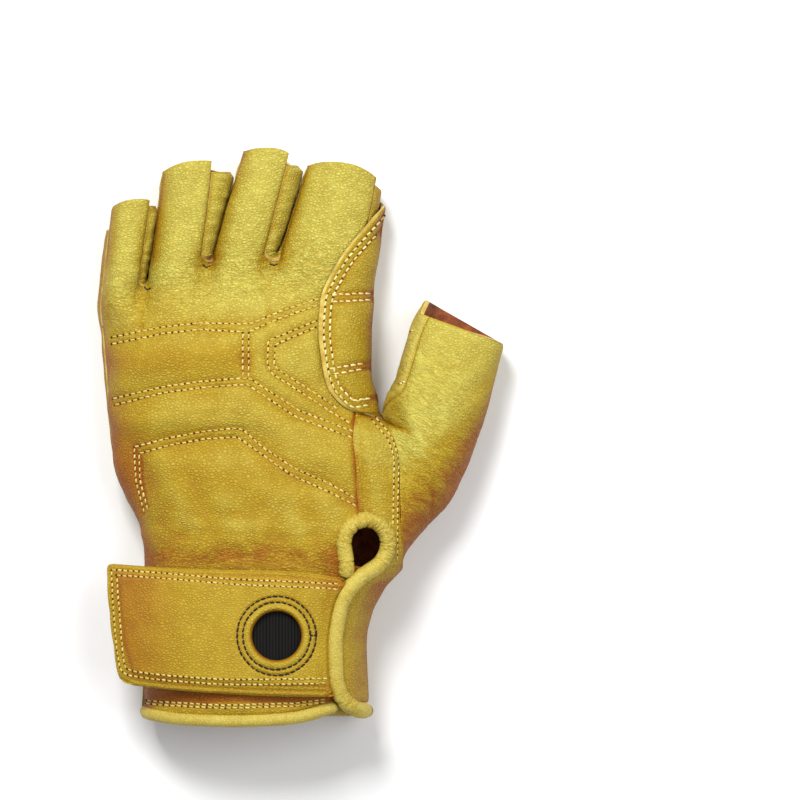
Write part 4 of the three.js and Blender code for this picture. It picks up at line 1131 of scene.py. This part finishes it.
# %% Thumb's pieces
def thumb_strip(name, first, last, cells, materials, outside=0.0, start=0.0, stop=1.0, folds=0.0):
    """A strip of the thumb between two angles, folded and toned."""
    t = np.linspace(0, 1, cells[1] + 1)[:, None]
    angle = mix(first(t), last(t), np.linspace(0, 1, cells[0] + 1)[None, :])
    along = mix(start, stop * thumb_reach(angle), t)
    outer, inner = thumb(angle, along, outside), thumb(angle, along, outside + LEATHER)
    has = whole(outer)
    rim = rim_distance(outer, has)
    x, y, z = (outer[..., c] for c in range(3))
    low = smooth((z - REST - 0.4) / 3)
    fan = creases(x, y, -30, 1.7, 12, 41) * folds * smooth((0.8 - along) / 0.5)
    waves = 0.45 * noise(x + z, y, 14, 11) + 0.2 * noise(x, y + z, 6, 12)
    relief = low * ((waves + fan) * smooth(rim / 3) - 0.5 * bell(rim, 0.8))
    # painted shade: darker on slopes, in the fanned creases and towards the thumb's lower right; darker
    # also at the rim
    tone = (0.5 * bell(rim, 0.8) + 1.1 * steepness(outer) ** 1.3 - 0.4 * fan - 0.55
            + 1.15 * smooth((y + 8 - 0.9 * (x - 52)) / -26))
    slope = 0.25 + 0.75 * smooth((0.95 - along) / 0.4)
    return sheet(name, *raised(outer, inner, relief), has, materials, tone, slope=slope)


def gusset_half(t):
    """Half the strip's angle round the thumb: narrow at the crotch, wide at the open end."""
    return mix(12, 42, smooth(t / 0.4)) * DEG


def thumb_gap(t):
    """Half the thumb's seam gap as an angle; the sewn edges meet almost closed."""
    return 0.2 * GAP / mix(0.12, 0.27, t) / PALM_HALF


OUTER_SEAM = -8 * DEG
thumb_back = thumb_strip(
    "thumb_back", lambda t: OUTER_SEAM + thumb_gap(t),
    lambda t: np.pi - gusset_half(t) - thumb_gap(t), (100, 150), FINISH, folds=0.11)
thumb_front = thumb_strip(
    "thumb_front", lambda t: np.pi + gusset_half(t) + mix(2, 1, t) * thumb_gap(t),
    lambda t: TURN + OUTER_SEAM - thumb_gap(t), (56, 90), FINISH, folds=0.15)
gusset = thumb_strip(
    "thumb_gusset", lambda t: np.pi - gusset_half(t), lambda t: np.pi + gusset_half(t), (30, 110),
    [binding_leather, inside_suede, cut_edge], folds=0.2)
thumb_second = thumb_strip(
    "thumb_second_layer", lambda t: 232 * DEG + 0 * t, lambda t: 300 * DEG + 0 * t, (24, 40),
    PALM_FINISH, outside=-REST, start=0.35, stop=0.93)

# %% [markdown]
# ## The strap with its clip hole
# The strap is two layers turned in at the edges, so its rim is round and thinner than its middle,
# with a double row of stitches beside it. A square grid would cut the round hole into steps. The
# grid therefore runs as rays from the hole to the outline, over the top, round the edge, back
# underneath and up through the hole: one closed ring with two exact rims.

# %% Strap's outline as rays from the hole
HOLE = np.array([0.225 * PALM_HALF, -0.722 * CUFF_REACH])


def strap_outline():
    """The strap's outline in plan as a closed line: top, right end under the roll, bottom and free end."""
    x = np.linspace(-44.6, 31.5, 140)
    top = np.stack([x, strap_top(x)], -1)
    y = np.linspace(strap_top(31.5) - 0.5, strap_bottom(28.0) + 0.3, 60)
    right = np.stack([back_seam(np.minimum(y, up_at(-0.56))) - ROLL + 0.4, y], -1)
    x = np.linspace(27.8, -37.5, 120)
    bottom = np.stack([x, strap_bottom(x)], -1)
    left = np.array([(-39.6, -87.2), (-41.3, -85.8), (-42.1, -83.5), (-43.2, -75.0), (-44.6, -64.0),
                     (-45.6, -53.0), (-45.8, -50.0), (-45.5, -48.6)])
    return np.concatenate([top, right, bottom, left])


outline = strap_outline()
polar = outline - HOLE
theta, radius = np.arctan2(polar[:, 1], polar[:, 0]), np.hypot(polar[:, 0], polar[:, 1])
order = np.argsort(theta)
RAYS, TOP_STEPS = 560, 84
ray = TURN * np.arange(RAYS) / RAYS - np.pi
reach = np.interp(ray, theta[order], radius[order], period=TURN)
edge = np.linspace(0, np.pi, 9)[1:-1]
share = np.r_[np.linspace(0, 1, TOP_STEPS), np.ones(len(edge)), np.linspace(1, 0, 14), np.zeros(5)]
r = CLIP_RADIUS + (reach[None, :] - CLIP_RADIUS) * share[:, None]
x, y = HOLE[0] + r * np.cos(ray), HOLE[1] + r * np.sin(ray)
strap_rim, _ = nearest(x, y, [np.concatenate([outline, outline[:1]])[::3]])
sewn_side, strap_along = nearest(x, y, [np.concatenate([outline[200:], outline[:140]])[::3]])
from_hole = np.hypot(x - HOLE[0], y - HOLE[1]) - CLIP_RADIUS
print("strap's rays reach", reach.min().round(1), "to", reach.max().round(1), "mm")


# %% Closure strap
def rounded(t, low=0):
    """Rises like a quarter circle between t = 0 and t = 1: the root of 1 - (1 - t) squared."""
    return np.sqrt(np.clip(1 - (1 - np.minimum(t, 1)) ** 2, low, 1))


def strap_base(x, y):
    """The strap's underside: an arch flatter than the wrist's own, over the loop patch."""
    middle, _, seam, rise, _, _ = section(y)
    arch = STRAP_DROOP * (np.abs(x - middle) / (1.03 * PALM_HALF)) ** 2.6
    return seam + rise - arch + 2 * GAP + PATCH_THICK


# thickness over the underside: thin rounded rims, grooves at the rows, puckers between them
on_top = (np.arange(len(share)) < TOP_STEPS)[:, None]
strap_rows = bell(sewn_side - 1.6, 0.7) + bell(sewn_side - 3.3, 0.7)
ring_rows = bell(from_hole - 3.0, 0.6) + bell(from_hole - 4.9, 0.6)
RIM_THICK = 0.45
thick = 0.62 * STRAP_THICK + 0.38 * STRAP_THICK * smooth((strap_rim - 0.8) / 4)
thick = RIM_THICK + (thick - RIM_THICK) * np.minimum(rounded(strap_rim / 1.1), rounded(from_hole / 1.3))
pucker = 0.07 * np.cos(TURN * strap_along / 1.9) * bell(sewn_side - 2.3, 1.8)
ring_puff = 0.35 * bell(from_hole - 1.5, 1.3) + 0.1 * bell(from_hole - 4.0, 0.6)
waves = 0.4 * noise(x, y, 16, 14) + 0.15 * noise(x, y, 6, 15)
top = (thick + pucker - 0.34 * strap_rows - 0.38 * ring_rows + ring_puff
       + waves * smooth(strap_rim / 5) * 0.8)
z = strap_base(x, y) + np.where(on_top, np.maximum(top, 0.4), 0)

# the rim bulges half round the edge, and five rows climb back up through the hole
turn_edge = slice(TOP_STEPS, TOP_STEPS + len(edge))
out = np.sin(edge)[:, None] * 0.35
x[turn_edge] += out * np.cos(ray)
y[turn_edge] += out * np.sin(ray)
z[turn_edge] = mix(z[TOP_STEPS - 1], strap_base(x, y)[turn_edge], (1 - np.cos(edge)[:, None]) / 2)
up_hole = np.linspace(0, 1, 7)[1:-1][:, None]
z[-5:] = mix(z[-6], z[0], up_hole)
# painted shade: darker in the rows' grooves, round the clip hole's edge and at the right end under the
# roll; darker also at the sewn edge and towards the free end, a little paler just outside the hole
tone = (0.4 * strap_rows + 0.35 * ring_rows + 0.2 * bell(sewn_side, 0.6)
        + 0.75 * bell(from_hole, 0.9) + 0.65 * smooth((-12 - x) / 28) * smooth((sewn_side - 1) / 4)
        - 0.25 * bell(from_hole - 1.8, 1.2) + 0.35 * smooth((x - 24) / 6) + 0.1)

# the rays' grid closes on itself in both directions
points = stack(x, y, z).reshape(-1, 3)
ids = np.arange(len(points)).reshape(x.shape)
beyond = np.roll(ids, -1, axis=1)
faces = np.stack([ids, beyond, np.roll(beyond, -1, axis=0), np.roll(ids, -1, axis=0)], -1)
faces = outward(points, faces.reshape(-1, 4))
strap = make_mesh("strap", points, faces, 0, [strap_leather], {"tone": tone})
print("strap:", 2 * len(faces), "triangles")

# %% [markdown]
# ## The loop patch
# Through the clip hole shows the loop half of the fastening: a black knit whose loops stand in
# columns. Thousands of small loops would be heavy and hardly seen, so the knit is one sheet with
# relief. Each column is a rounded rib, and the loops step up it half a turn apart from the next
# column, so the height is the rib's sine times the loops' sine.


# %% Loop patch
def knit_material():
    """Black knit, matt with a soft sheen: painted shade nearly black in the valleys, painted light greyer
    on the crowns.
    """
    material, tree, place = new_material("loop_knit")
    crown = attribute(tree, "tone")
    fuzz = noise_wire(tree, place, 3200.0, 2.0, 0.6)
    colour = blend_colour(tree, (crown * 0.8 + fuzz * 0.35).curved((0.2, 0.0), (1.1, 1.0)),
                          (0.001, 0.001, 0.001, 1.0), (0.014, 0.0125, 0.012, 1.0))
    finish_material(tree, {"Base Color": colour, "Roughness": 0.9, "Normal": bump(tree, 0.5, 0.0002, fuzz),
                           "Specular IOR Level": 0.2})
    return material


RIB, LOOP = 1.05, 0.9
x = np.linspace(-0.5, 0.52, 176)[None, :] * PALM_HALF
y = np.linspace(-0.9, -0.56, 122)[:, None] * CUFF_REACH
column = np.floor(x / RIB)
rib = np.abs(np.sin(np.pi * x / RIB))
uneven = 0.7 * LATTICE[column.astype(int) % 64, 3]
loop = 0.5 + 0.5 * np.sin(TURN * (y / LOOP + 0.5 * (column % 2)) + uneven)
crown = rib**0.8 * (0.45 + 0.55 * loop)
outer = stack(x, y, height_at(x, y) + GAP + PATCH_THICK - 0.35 + 0.45 * crown)
inner = stack(x, y, height_at(x, y) + GAP + 0 * crown)
# the loops' height is the tone: painted light on the crowns, painted shade in the valleys
patch = sheet("loop_patch_knit", outer, inner, whole(outer), [knit_material()] * 3, crown)

# %% [markdown]
# ## Rolled bindings
# A binding is a strip of soft leather rolled over a cord. A curve with a bevel gives a plain tube,
# but where a binding bends, its skin gathers into fine folds across the roll. Here the tube is made
# of circles across a line, and their radius carries the folds: narrow valleys from noise, whose
# depth grows with the line's curvature.


# %% Tubes along lines
def capped(rings, sides):
    """Triangles of a tube of rings, closed at both ends by fans to the two points after the rings."""
    ids = np.arange(rings * sides).reshape(rings, sides)
    beyond = np.roll(ids, -1, axis=1)
    quads = np.stack([ids[:-1], beyond[:-1], beyond[1:], ids[1:]], -1).reshape(-1, 4)
    fans = [np.stack([beyond[0], ids[0], 0 * ids[0] + ids.size], -1),
            np.stack([ids[-1], beyond[-1], 0 * ids[0] + ids.size + 1], -1)]
    return np.concatenate([quads[:, [0, 1, 2]], quads[:, [0, 2, 3]], *fans])


def running_mean(values, reach):
    """Each value's mean with the reach values before and after it."""
    width = 2 * reach + 1
    return np.convolve(np.pad(values, reach, mode="edge"), np.ones(width) / width, "valid")


def directions(lines):
    """Unit directions at each point of one line or many: along it, level across it, and square to both."""
    along = np.gradient(lines, axis=-2)
    along /= np.linalg.norm(along, axis=-1, keepdims=True)
    side = np.cross(along, [0, 0, 1.0])
    side /= np.linalg.norm(side, axis=-1, keepdims=True)
    return along, side, np.cross(side, along)


def circles(lines, side, up, radius, angles, flat=1.0):
    """A circle across each point of the lines: side by cos and up by sin, both times the radius."""
    return (lines[..., None, :] + side[..., None, :] * (radius * np.cos(angles))[..., None]
            + up[..., None, :] * (radius * flat * np.sin(angles))[..., None])


def tube(name, line, radius, gathers, materials, sides, seed):
    """A tube along a line of points: circles across it, their radius less the folds, with round ends."""
    tangent, side, up = directions(line)
    line, along = chords(line)
    bend = np.linalg.norm(np.gradient(tangent, axis=0), axis=1) / np.gradient(along)
    bend = running_mean(bend, 6)
    a = TURN * np.arange(sides)[None, :] / sides
    s = along[:, None]
    wobble = noise(s + 0.4 * np.sin(a), 0.9 * np.cos(a), 0.6, 50 + seed)
    folds = -np.clip(np.abs(wobble) * 3, 0, 1) + 1
    depth = gathers * np.clip(bend[:, None] * 9, 0.3, 1)
    size = radius * (1 + 0.02 * noise(s, 0 * a, 9, seed)) - depth * folds
    size = size * rounded(np.minimum(s, along[-1] - s) / radius, 1e-4)
    points = circles(line, side, up, size, a)
    # painted shade: darker in the gathered folds, underneath and down the sides, paler on top
    tone = 0.75 * folds * depth / max(gathers, 1e-6) + 0.55 * np.clip(-np.sin(a), -0.2, 1) + 0 * s
    tone = tone + 0.45 * (1 - np.clip(np.sin(a), 0, 1)) ** 2 - 0.25
    points = np.concatenate([points.reshape(-1, 3), line[[0, -1]]])
    triangles = outward(points, capped(len(line), sides))
    piece = make_mesh(name, points, triangles, 0, materials, {"tone": np.r_[tone.ravel(), 0, 0]}, sharp=70)
    print(f"{name}: {len(triangles)} triangles, {along[-1]:.0f} mm long")
    return piece


print("tube helpers ready")


# %% Vent roll
def on_back(x, y):
    """The height of the panels' middle face on the back of the hand."""
    return height_at(x, y, LEATHER / 2) + flap_rise(x, y)


round_part = [(VENT_X + VENT_HALF_X * math.cos(a * DEG), VENT_Y + VENT_HALF_Y * math.sin(a * DEG))
              for a in range(195, -16, -15)]
slit_rows = BACK_SEAM[(BACK_SEAM[:, 0] < -0.5) & (BACK_SEAM[:, 0] > -0.96)][::-1]
vent_path = np.array(
    [(VENT_X - 0.94 * VENT_HALF_X, VENT_Y - 1.5 * VENT_HALF_Y),
     (VENT_X - 0.87 * VENT_HALF_X, VENT_Y - VENT_HALF_Y)] + round_part
    + [(VENT_X + 0.68 * VENT_HALF_X, VENT_Y - 0.8 * VENT_HALF_Y)]
    + [(r[1] * PALM_HALF, up_at(r[0])) for r in slit_rows]
    + [(0.79 * PALM_HALF, HEM_UP + 0.5), (hand_right(HEM_UP) - 0.5 * ROLL, HEM_UP)])
VENT_STEP = 0.27
vent_line = fair(vent_path, VENT_STEP)
dive = 2.0 * smooth(1 - np.arange(len(vent_line)) * VENT_STEP / 5)
vent_line = stack(vent_line[:, 0], vent_line[:, 1], on_back(vent_line[:, 0], vent_line[:, 1]) + 0.5 - dive)
vent_roll = tube("vent_roll", vent_line, ROLL, 0.36, [binding_leather], sides=22, seed=1)

# %% Hem roll
# round the cuff: under the palm from the thumb's side, then over the back
inside = HEM_ROLL - REST + 0.25
angles = np.arange(4, -176, -4) * DEG
under = hand(angles, HEM_UP, inside)
angles = np.arange(176, 40, -4)
x = hand(angles * DEG, -CUFF_REACH, inside)[:, 0]
over = hand(angles * DEG, mix(HEM_UP, hem_line(x), smooth((184 - angles) / 20)), inside)
hem_marks = np.concatenate([under, over])
hem_marks = np.stack([running_mean(c, 2) for c in hem_marks.T], -1)
hem_roll = tube("hem_roll", fair(hem_marks) - (0, 0.4, 0), HEM_ROLL - 0.2, 0.25, [binding_leather],
                sides=18, seed=2)

# %% [markdown]
# ## Stitches
# A sewn row is a line drawn on the leather and cut into stitches of equal length. Painted dashes
# have no thickness or shadow, so each stitch is a short bowed thread whose two ends dip into the
# leather, with a dark needle hole where it starts. The rows are drawn in plan and dropped straight
# down onto the pieces, and a stitch is kept only where it lands on the piece it belongs to.


# %% Rows dropped onto the leather
UNDER_ROWS = (back, palm, second, strap, patch, vent_roll, hem_roll, thumb_back, thumb_front, gusset,
              *strips)
LANDING = {p.name: BVHTree.FromObject(p, bpy.context.evaluated_depsgraph_get()) for p in UNDER_ROWS}


def land(points, piece):
    """Drops plan points straight down: their heights, and whether each lands on this piece."""
    heights, hits = np.zeros(len(points)), np.zeros(len(points), bool)
    for i, (px, py) in enumerate(points * MM):
        best, name = -1.0, ""
        for other, tree in LANDING.items():
            spot = tree.ray_cast(Vector((px, py, 0.2)), Vector((0, 0, -1)))[0]
            if spot is not None and spot.z > best:
                best, name = spot.z, other
        heights[i], hits[i] = best * 1000, name == piece.name
    return heights, hits


def sew(line, piece, pitch, radius, cover, shares=5):
    """Stitches along a plan line: for each kept stitch its points on the surface, pitch apart."""
    line, along = chords(line)
    count = max(1, int(round(along[-1] / pitch)))
    knots = np.linspace(0, along[-1], count + 1)
    part = np.linspace(0.5 - cover / 2, 0.5 + cover / 2, shares)
    t = mix(knots[:-1, None], knots[1:, None], part[None, :])
    x, y = (np.interp(t, along, line[:, c]) for c in (0, 1))
    landed = [0, shares // 2, shares - 1]
    z, hits = land(np.stack([x[:, landed], y[:, landed]], -1).reshape(-1, 2), piece)
    z, hits = z.reshape(-1, 3), hits.reshape(-1, 3).all(1)
    hits &= np.abs(np.diff(z, axis=1)).max(1) < pitch
    s = np.linspace(-1, 1, shares)[None, :]
    top = mix(z[:, :1], z[:, 1:2], 1 + s) * (s < 0) + mix(z[:, 1:2], z[:, 2:], s) * (s >= 0)
    bow = radius * (1.25 * (1 - s**4) - 0.75)
    starts = (np.interp(knots[:-1], along, line[:, c]) for c in (0, 1))
    return stack(x, y, top + bow)[hits], stack(*starts, z[:, 0])[hits]


print("rows can land on", len(LANDING), "pieces")


# %% Threads and needle holes
def repeated(faces, count, corners):
    """The faces of one small shape, said again for each of count copies with so many corners."""
    return (faces[None] + np.arange(count)[:, None, None] * corners).reshape(-1, faces.shape[1])


def threads(name, rows, materials, radius, sides=6):
    """One mesh of all stitches: circles across each bowed thread, thinner towards both ends."""
    lines = np.concatenate(rows)
    n, rings, _ = lines.shape
    _, side, up = directions(lines)
    jitter = chance.rand(n, 3)  # each stitch's sideways shift, thickness and tone
    aside = (jitter[:, :1] - 0.5) * 0.16 + np.linspace(-0.08, 0.08, rings)
    lines = lines + side * aside[..., None]
    share = np.linspace(-1, 1, rings)
    size = radius * (0.85 + 0.3 * jitter[:, 1:2]) * np.sqrt(1 - (0.93 * share[None, :]) ** 6)
    rounds = circles(lines, side, up, size[..., None], TURN * np.arange(sides) / sides, 0.8)
    points = np.concatenate([rounds.reshape(n, -1, 3), lines[:, [0, -1]]], 1)
    every = repeated(outward(points[0], capped(rings, sides)), n, points.shape[1])
    tone = np.repeat(jitter[:, 2:3], points.shape[1], axis=1)
    piece = make_mesh(name, points.reshape(-1, 3), every, 0, materials, {"tone": tone}, sharp=80)
    print(f"{name}: {n} stitches, {len(every)} triangles")
    return piece


def needle_holes(name, spots, material, radius, sides=6):
    """Dark dimples: a flat double cone at each spot, 0.1 mm up and 0.35 mm down."""
    spots = np.concatenate(spots)
    a = TURN * np.arange(sides) / sides
    rim = stack(radius * np.cos(a), radius * np.sin(a), 0 * a)
    shape = np.concatenate([rim, [(0, 0, 0.10), (0, 0, -0.35)]])
    ids = np.arange(sides)
    beyond = np.roll(ids, -1)
    cones = np.concatenate([np.stack([ids, beyond, 0 * ids + sides], -1),
                            np.stack([beyond, ids, 0 * ids + sides + 1], -1)])
    points = (spots[:, None] + shape[None] * (0.75 + 0.5 * chance.rand(len(spots), 1, 1))).reshape(-1, 3)
    return make_mesh(name, points, repeated(cones, len(spots), len(shape)), 0, [material], sharp=80)


def thread_material(name, light, dark):
    """Matt twisted thread; each stitch has its own shade."""
    material, tree, place = new_material(name)
    ply = noise_wire(tree, place, 3800.0, 1.0)
    colour = blend_colour(tree, attribute(tree, "tone") * 0.7 + ply * 0.5, light, dark)
    finish_material(tree, {"Base Color": colour, "Roughness": 0.8, "Normal": bump(tree, 0.5, 0.0001, ply),
                           "Specular IOR Level": 0.15})
    return material


print("thread helpers ready")

# %% Threads and rows
cream = thread_material("cream_thread", linear(240, 232, 176), linear(205, 186, 104))
golden = thread_material("golden_thread", linear(228, 208, 130), linear(192, 164, 78))
black = thread_material("black_thread", (0.006, 0.006, 0.006, 1.0), (0.03, 0.028, 0.026, 1.0))
# the needle holes' dark brown is painted shade inside the holes
hole_dark = plain_material("needle_hole", linear(74, 46, 14), 0.95)


def round_hole(radius):
    """A closed plan circle round the clip hole."""
    turn = np.arange(0, 361, 6) * DEG
    return np.stack([HOLE[0] + radius * np.cos(turn), HOLE[1] + radius * np.sin(turn)], -1)


strap_sewn = [
    [(-44.5, -49.9), (-26.3, -50.9), (-1.4, -52.8), (17.7, -53.6), (31.4, -54.4)],
    [(-42.8, -51.7), (-26.3, -52.6), (-1.4, -54.5), (17.7, -55.3), (31.2, -56.1)],
    [(-44.5, -50.2), (-43.6, -64), (-41.3, -82.6), (-39.6, -84.3), (-36.8, -85.1), (-26.3, -86.3),
     (-1.4, -87.6), (27.3, -87.2)],
    [(-42.6, -52.4), (-41.6, -64), (-39.7, -81.6), (-38.2, -83.0), (-36.0, -83.5), (-26.3, -84.6),
     (-1.4, -85.9), (27.8, -85.6)],
]
back_sewn = list(QUILT.values()) + [
    [(-33.3, -94.6), (-7.2, -95.6), (16.8, -95.0), (27.0, -93.6)],
    [(-33.0, -93.6), (-7.2, -94.6), (16.8, -94.0), (27.0, -92.6)],
]
TACKS = [[(8.0, 52.3), (9.4, 51.6), (10.9, 52.2)], [(-14.4, 51.8), (-13.0, 51.0), (-11.6, 51.7)],
         [(-33.9, 44.4), (-32.7, 43.5), (-31.5, 44.1)]]
thumb_row = fair([(43.5, 0.9), (49.3, -6.7), (51.2, -14.4), (51.0, -24.9), (50.7, -46.9)])
gusset_ties = [[(54.0, 29.3), (56.3, 30.0)], [(51.4, 12.1), (53.6, 12.8)]]
hole_tie = [(HOLE[0] + 10.9, HOLE[1] + 0.2), (HOLE[0] + 13.5, HOLE[1] + 0.2)]
print("rows on the strap:", len(strap_sewn), "| on the back:", len(back_sewn))

# %% Sew
THREAD, COVER = 0.3, 0.76  # the radius that bows a stitch, and its share of the pitch
golden_rows, cream_rows, black_rows, holes = [], [], [], []
for rows, piece, pitch, kind in (
    ([straight(q) for q in back_sewn], back, 2.1, golden_rows),
    ([fair(q) for q in strap_sewn], strap, 1.9, golden_rows),
    ([beside(lobe_line, 2.0), beside(lobe_line, 4.0)], second, 2.35, cream_rows),
    ([straight(q) for q in lobe_cross], second, 2.3, cream_rows),
    ([thumb_row, beside(thumb_row, -1.5)], palm, 2.0, golden_rows),
    ([straight(q) for q in gusset_ties], gusset, 1.1, cream_rows),
    ([round_hole(q) for q in (11.2, 13.1)], strap, 2.0, black_rows),
    ([straight(hole_tie)], strap, 1.3, black_rows),
    ([straight(q) for q in TACKS], back, 1.0, black_rows),
):
    closed = kind is black_rows  # the black rows' stitches touch, so no needle holes show
    for line in rows:
        sewn, spots = sew(line, piece, pitch, THREAD, 1.0 if closed else COVER)
        kind.append(sewn)
        if not closed:
            holes.append(spots)
cream_stitches = threads("cream_stitches", cream_rows, [cream], 0.34)
golden_stitches = threads("golden_stitches", golden_rows, [golden], 0.29)
black_stitches = threads("black_stitches", black_rows, [black], 0.3)
pricks = needle_holes("needle_holes", holes, hole_dark, 0.38)

# %% [markdown]
# ## The frame
# Each piece rides the imported model's one body and takes the place of its solids.

# %% Ride the frame
PLACES = [
    (back, "back_panel", "hand_leather"),
    (palm, "palm_panel", "hand_leather"),
    (second, "palm_overlay", "palm_leather"),
    (strips[0], "fourchette_little_ring", "hand_leather"),
    (strips[1], "fourchette_ring_middle", "hand_leather"),
    (strips[2], "fourchette_middle_index", "hand_leather"),
    (thumb_back, "thumb_back", "hand_leather"),
    (thumb_front, "thumb_front", "hand_leather"),
    (gusset, "thumb_gusset", "binding_leather"),
    (thumb_second, "thumb_overlay", "palm_leather"),
    (strap, "closure_strap", "strap_leather"),
    (patch, "loop_patch", "loop_fabric"),
    (vent_roll, "vent_binding", "binding_leather"),
    (hem_roll, "hem_binding", "binding_leather"),
    (cream_stitches, None, "palm_leather"),
    (golden_stitches, None, "hand_leather"),
    (black_stitches, None, "strap_leather"),
    (pricks, None, "hand_leather"),
]
for piece, solid, finish_slot in PLACES:
    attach(piece, "root")
    if solid:
        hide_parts(solid)
print(len(PLACES), "pieces ride the root body")

# %% [markdown]
# ## Floor, light and camera
# The photo is a soft overhead studio shot on white: a wide light above, a little stronger
# from the top left, and a pale sheet under the glove. The camera stands 2.5 m straight
# above with a long lens, so it sees almost no perspective.


# %% Stage
def lamp(name, place, size, power):
    """A square area light at a place in metres, turned towards the glove, unseen by the camera."""
    data = bpy.data.lights.new(name, "AREA")
    data.shape, data.size, data.energy = "SQUARE", size, power
    light = place_object(name, data)
    light.location = place
    light.rotation_euler = (Vector(GLOVE) - Vector(place)).to_track_quat("-Z", "Y").to_euler()
    light.visible_camera = False


SHEET, GLOVE = 2200.0, (0.02, 0.0, 0.0)  # half the sheet in mm; what the lamps aim at, in m
corners = [(-SHEET, -SHEET, 0), (SHEET, -SHEET, 0), (SHEET, SHEET, 0), (-SHEET, SHEET, 0)]
matt = plain_material("pale_sheet", (0.86, 0.86, 0.86, 1.0), 0.9)
make_mesh("sheet", corners, [(0, 1, 2, 3)], 0, [matt])

lamp("key", (-0.3, 0.75, 1.1), 0.45, 19.0)
lamp("fill", (0.75, 0.1, 1.2), 0.9, 9.0)

world = bpy.data.worlds.new("studio")
world.use_nodes = True
sky = world.node_tree.nodes["Background"].inputs
sky["Color"].default_value, sky["Strength"].default_value = (1.0, 1.0, 1.0, 1.0), 0.38
bpy.context.scene.world = world

# %% Camera
VIEW_X, VIEW_Y, EYE = 0.05167, 0.00667, 2.525
SENSOR, FIELD, FOCUS = 36.0, 0.26667, 2.5  # the sensor in mm; the field's width at that distance, in m
cam = bpy.data.cameras.new("camera")
cam.type, cam.sensor_width, cam.lens = "PERSP", SENSOR, SENSOR * FOCUS / FIELD
cam.clip_start, cam.clip_end = 0.1, 20.0
camera = place_object("camera", cam)
camera.location = (VIEW_X, VIEW_Y, EYE)
bpy.context.scene.camera = camera
bpy.context.scene.view_settings.view_transform = "Standard"
print(f"camera: {cam.lens:.0f} mm lens, {EYE:.2f} m above the sheet")
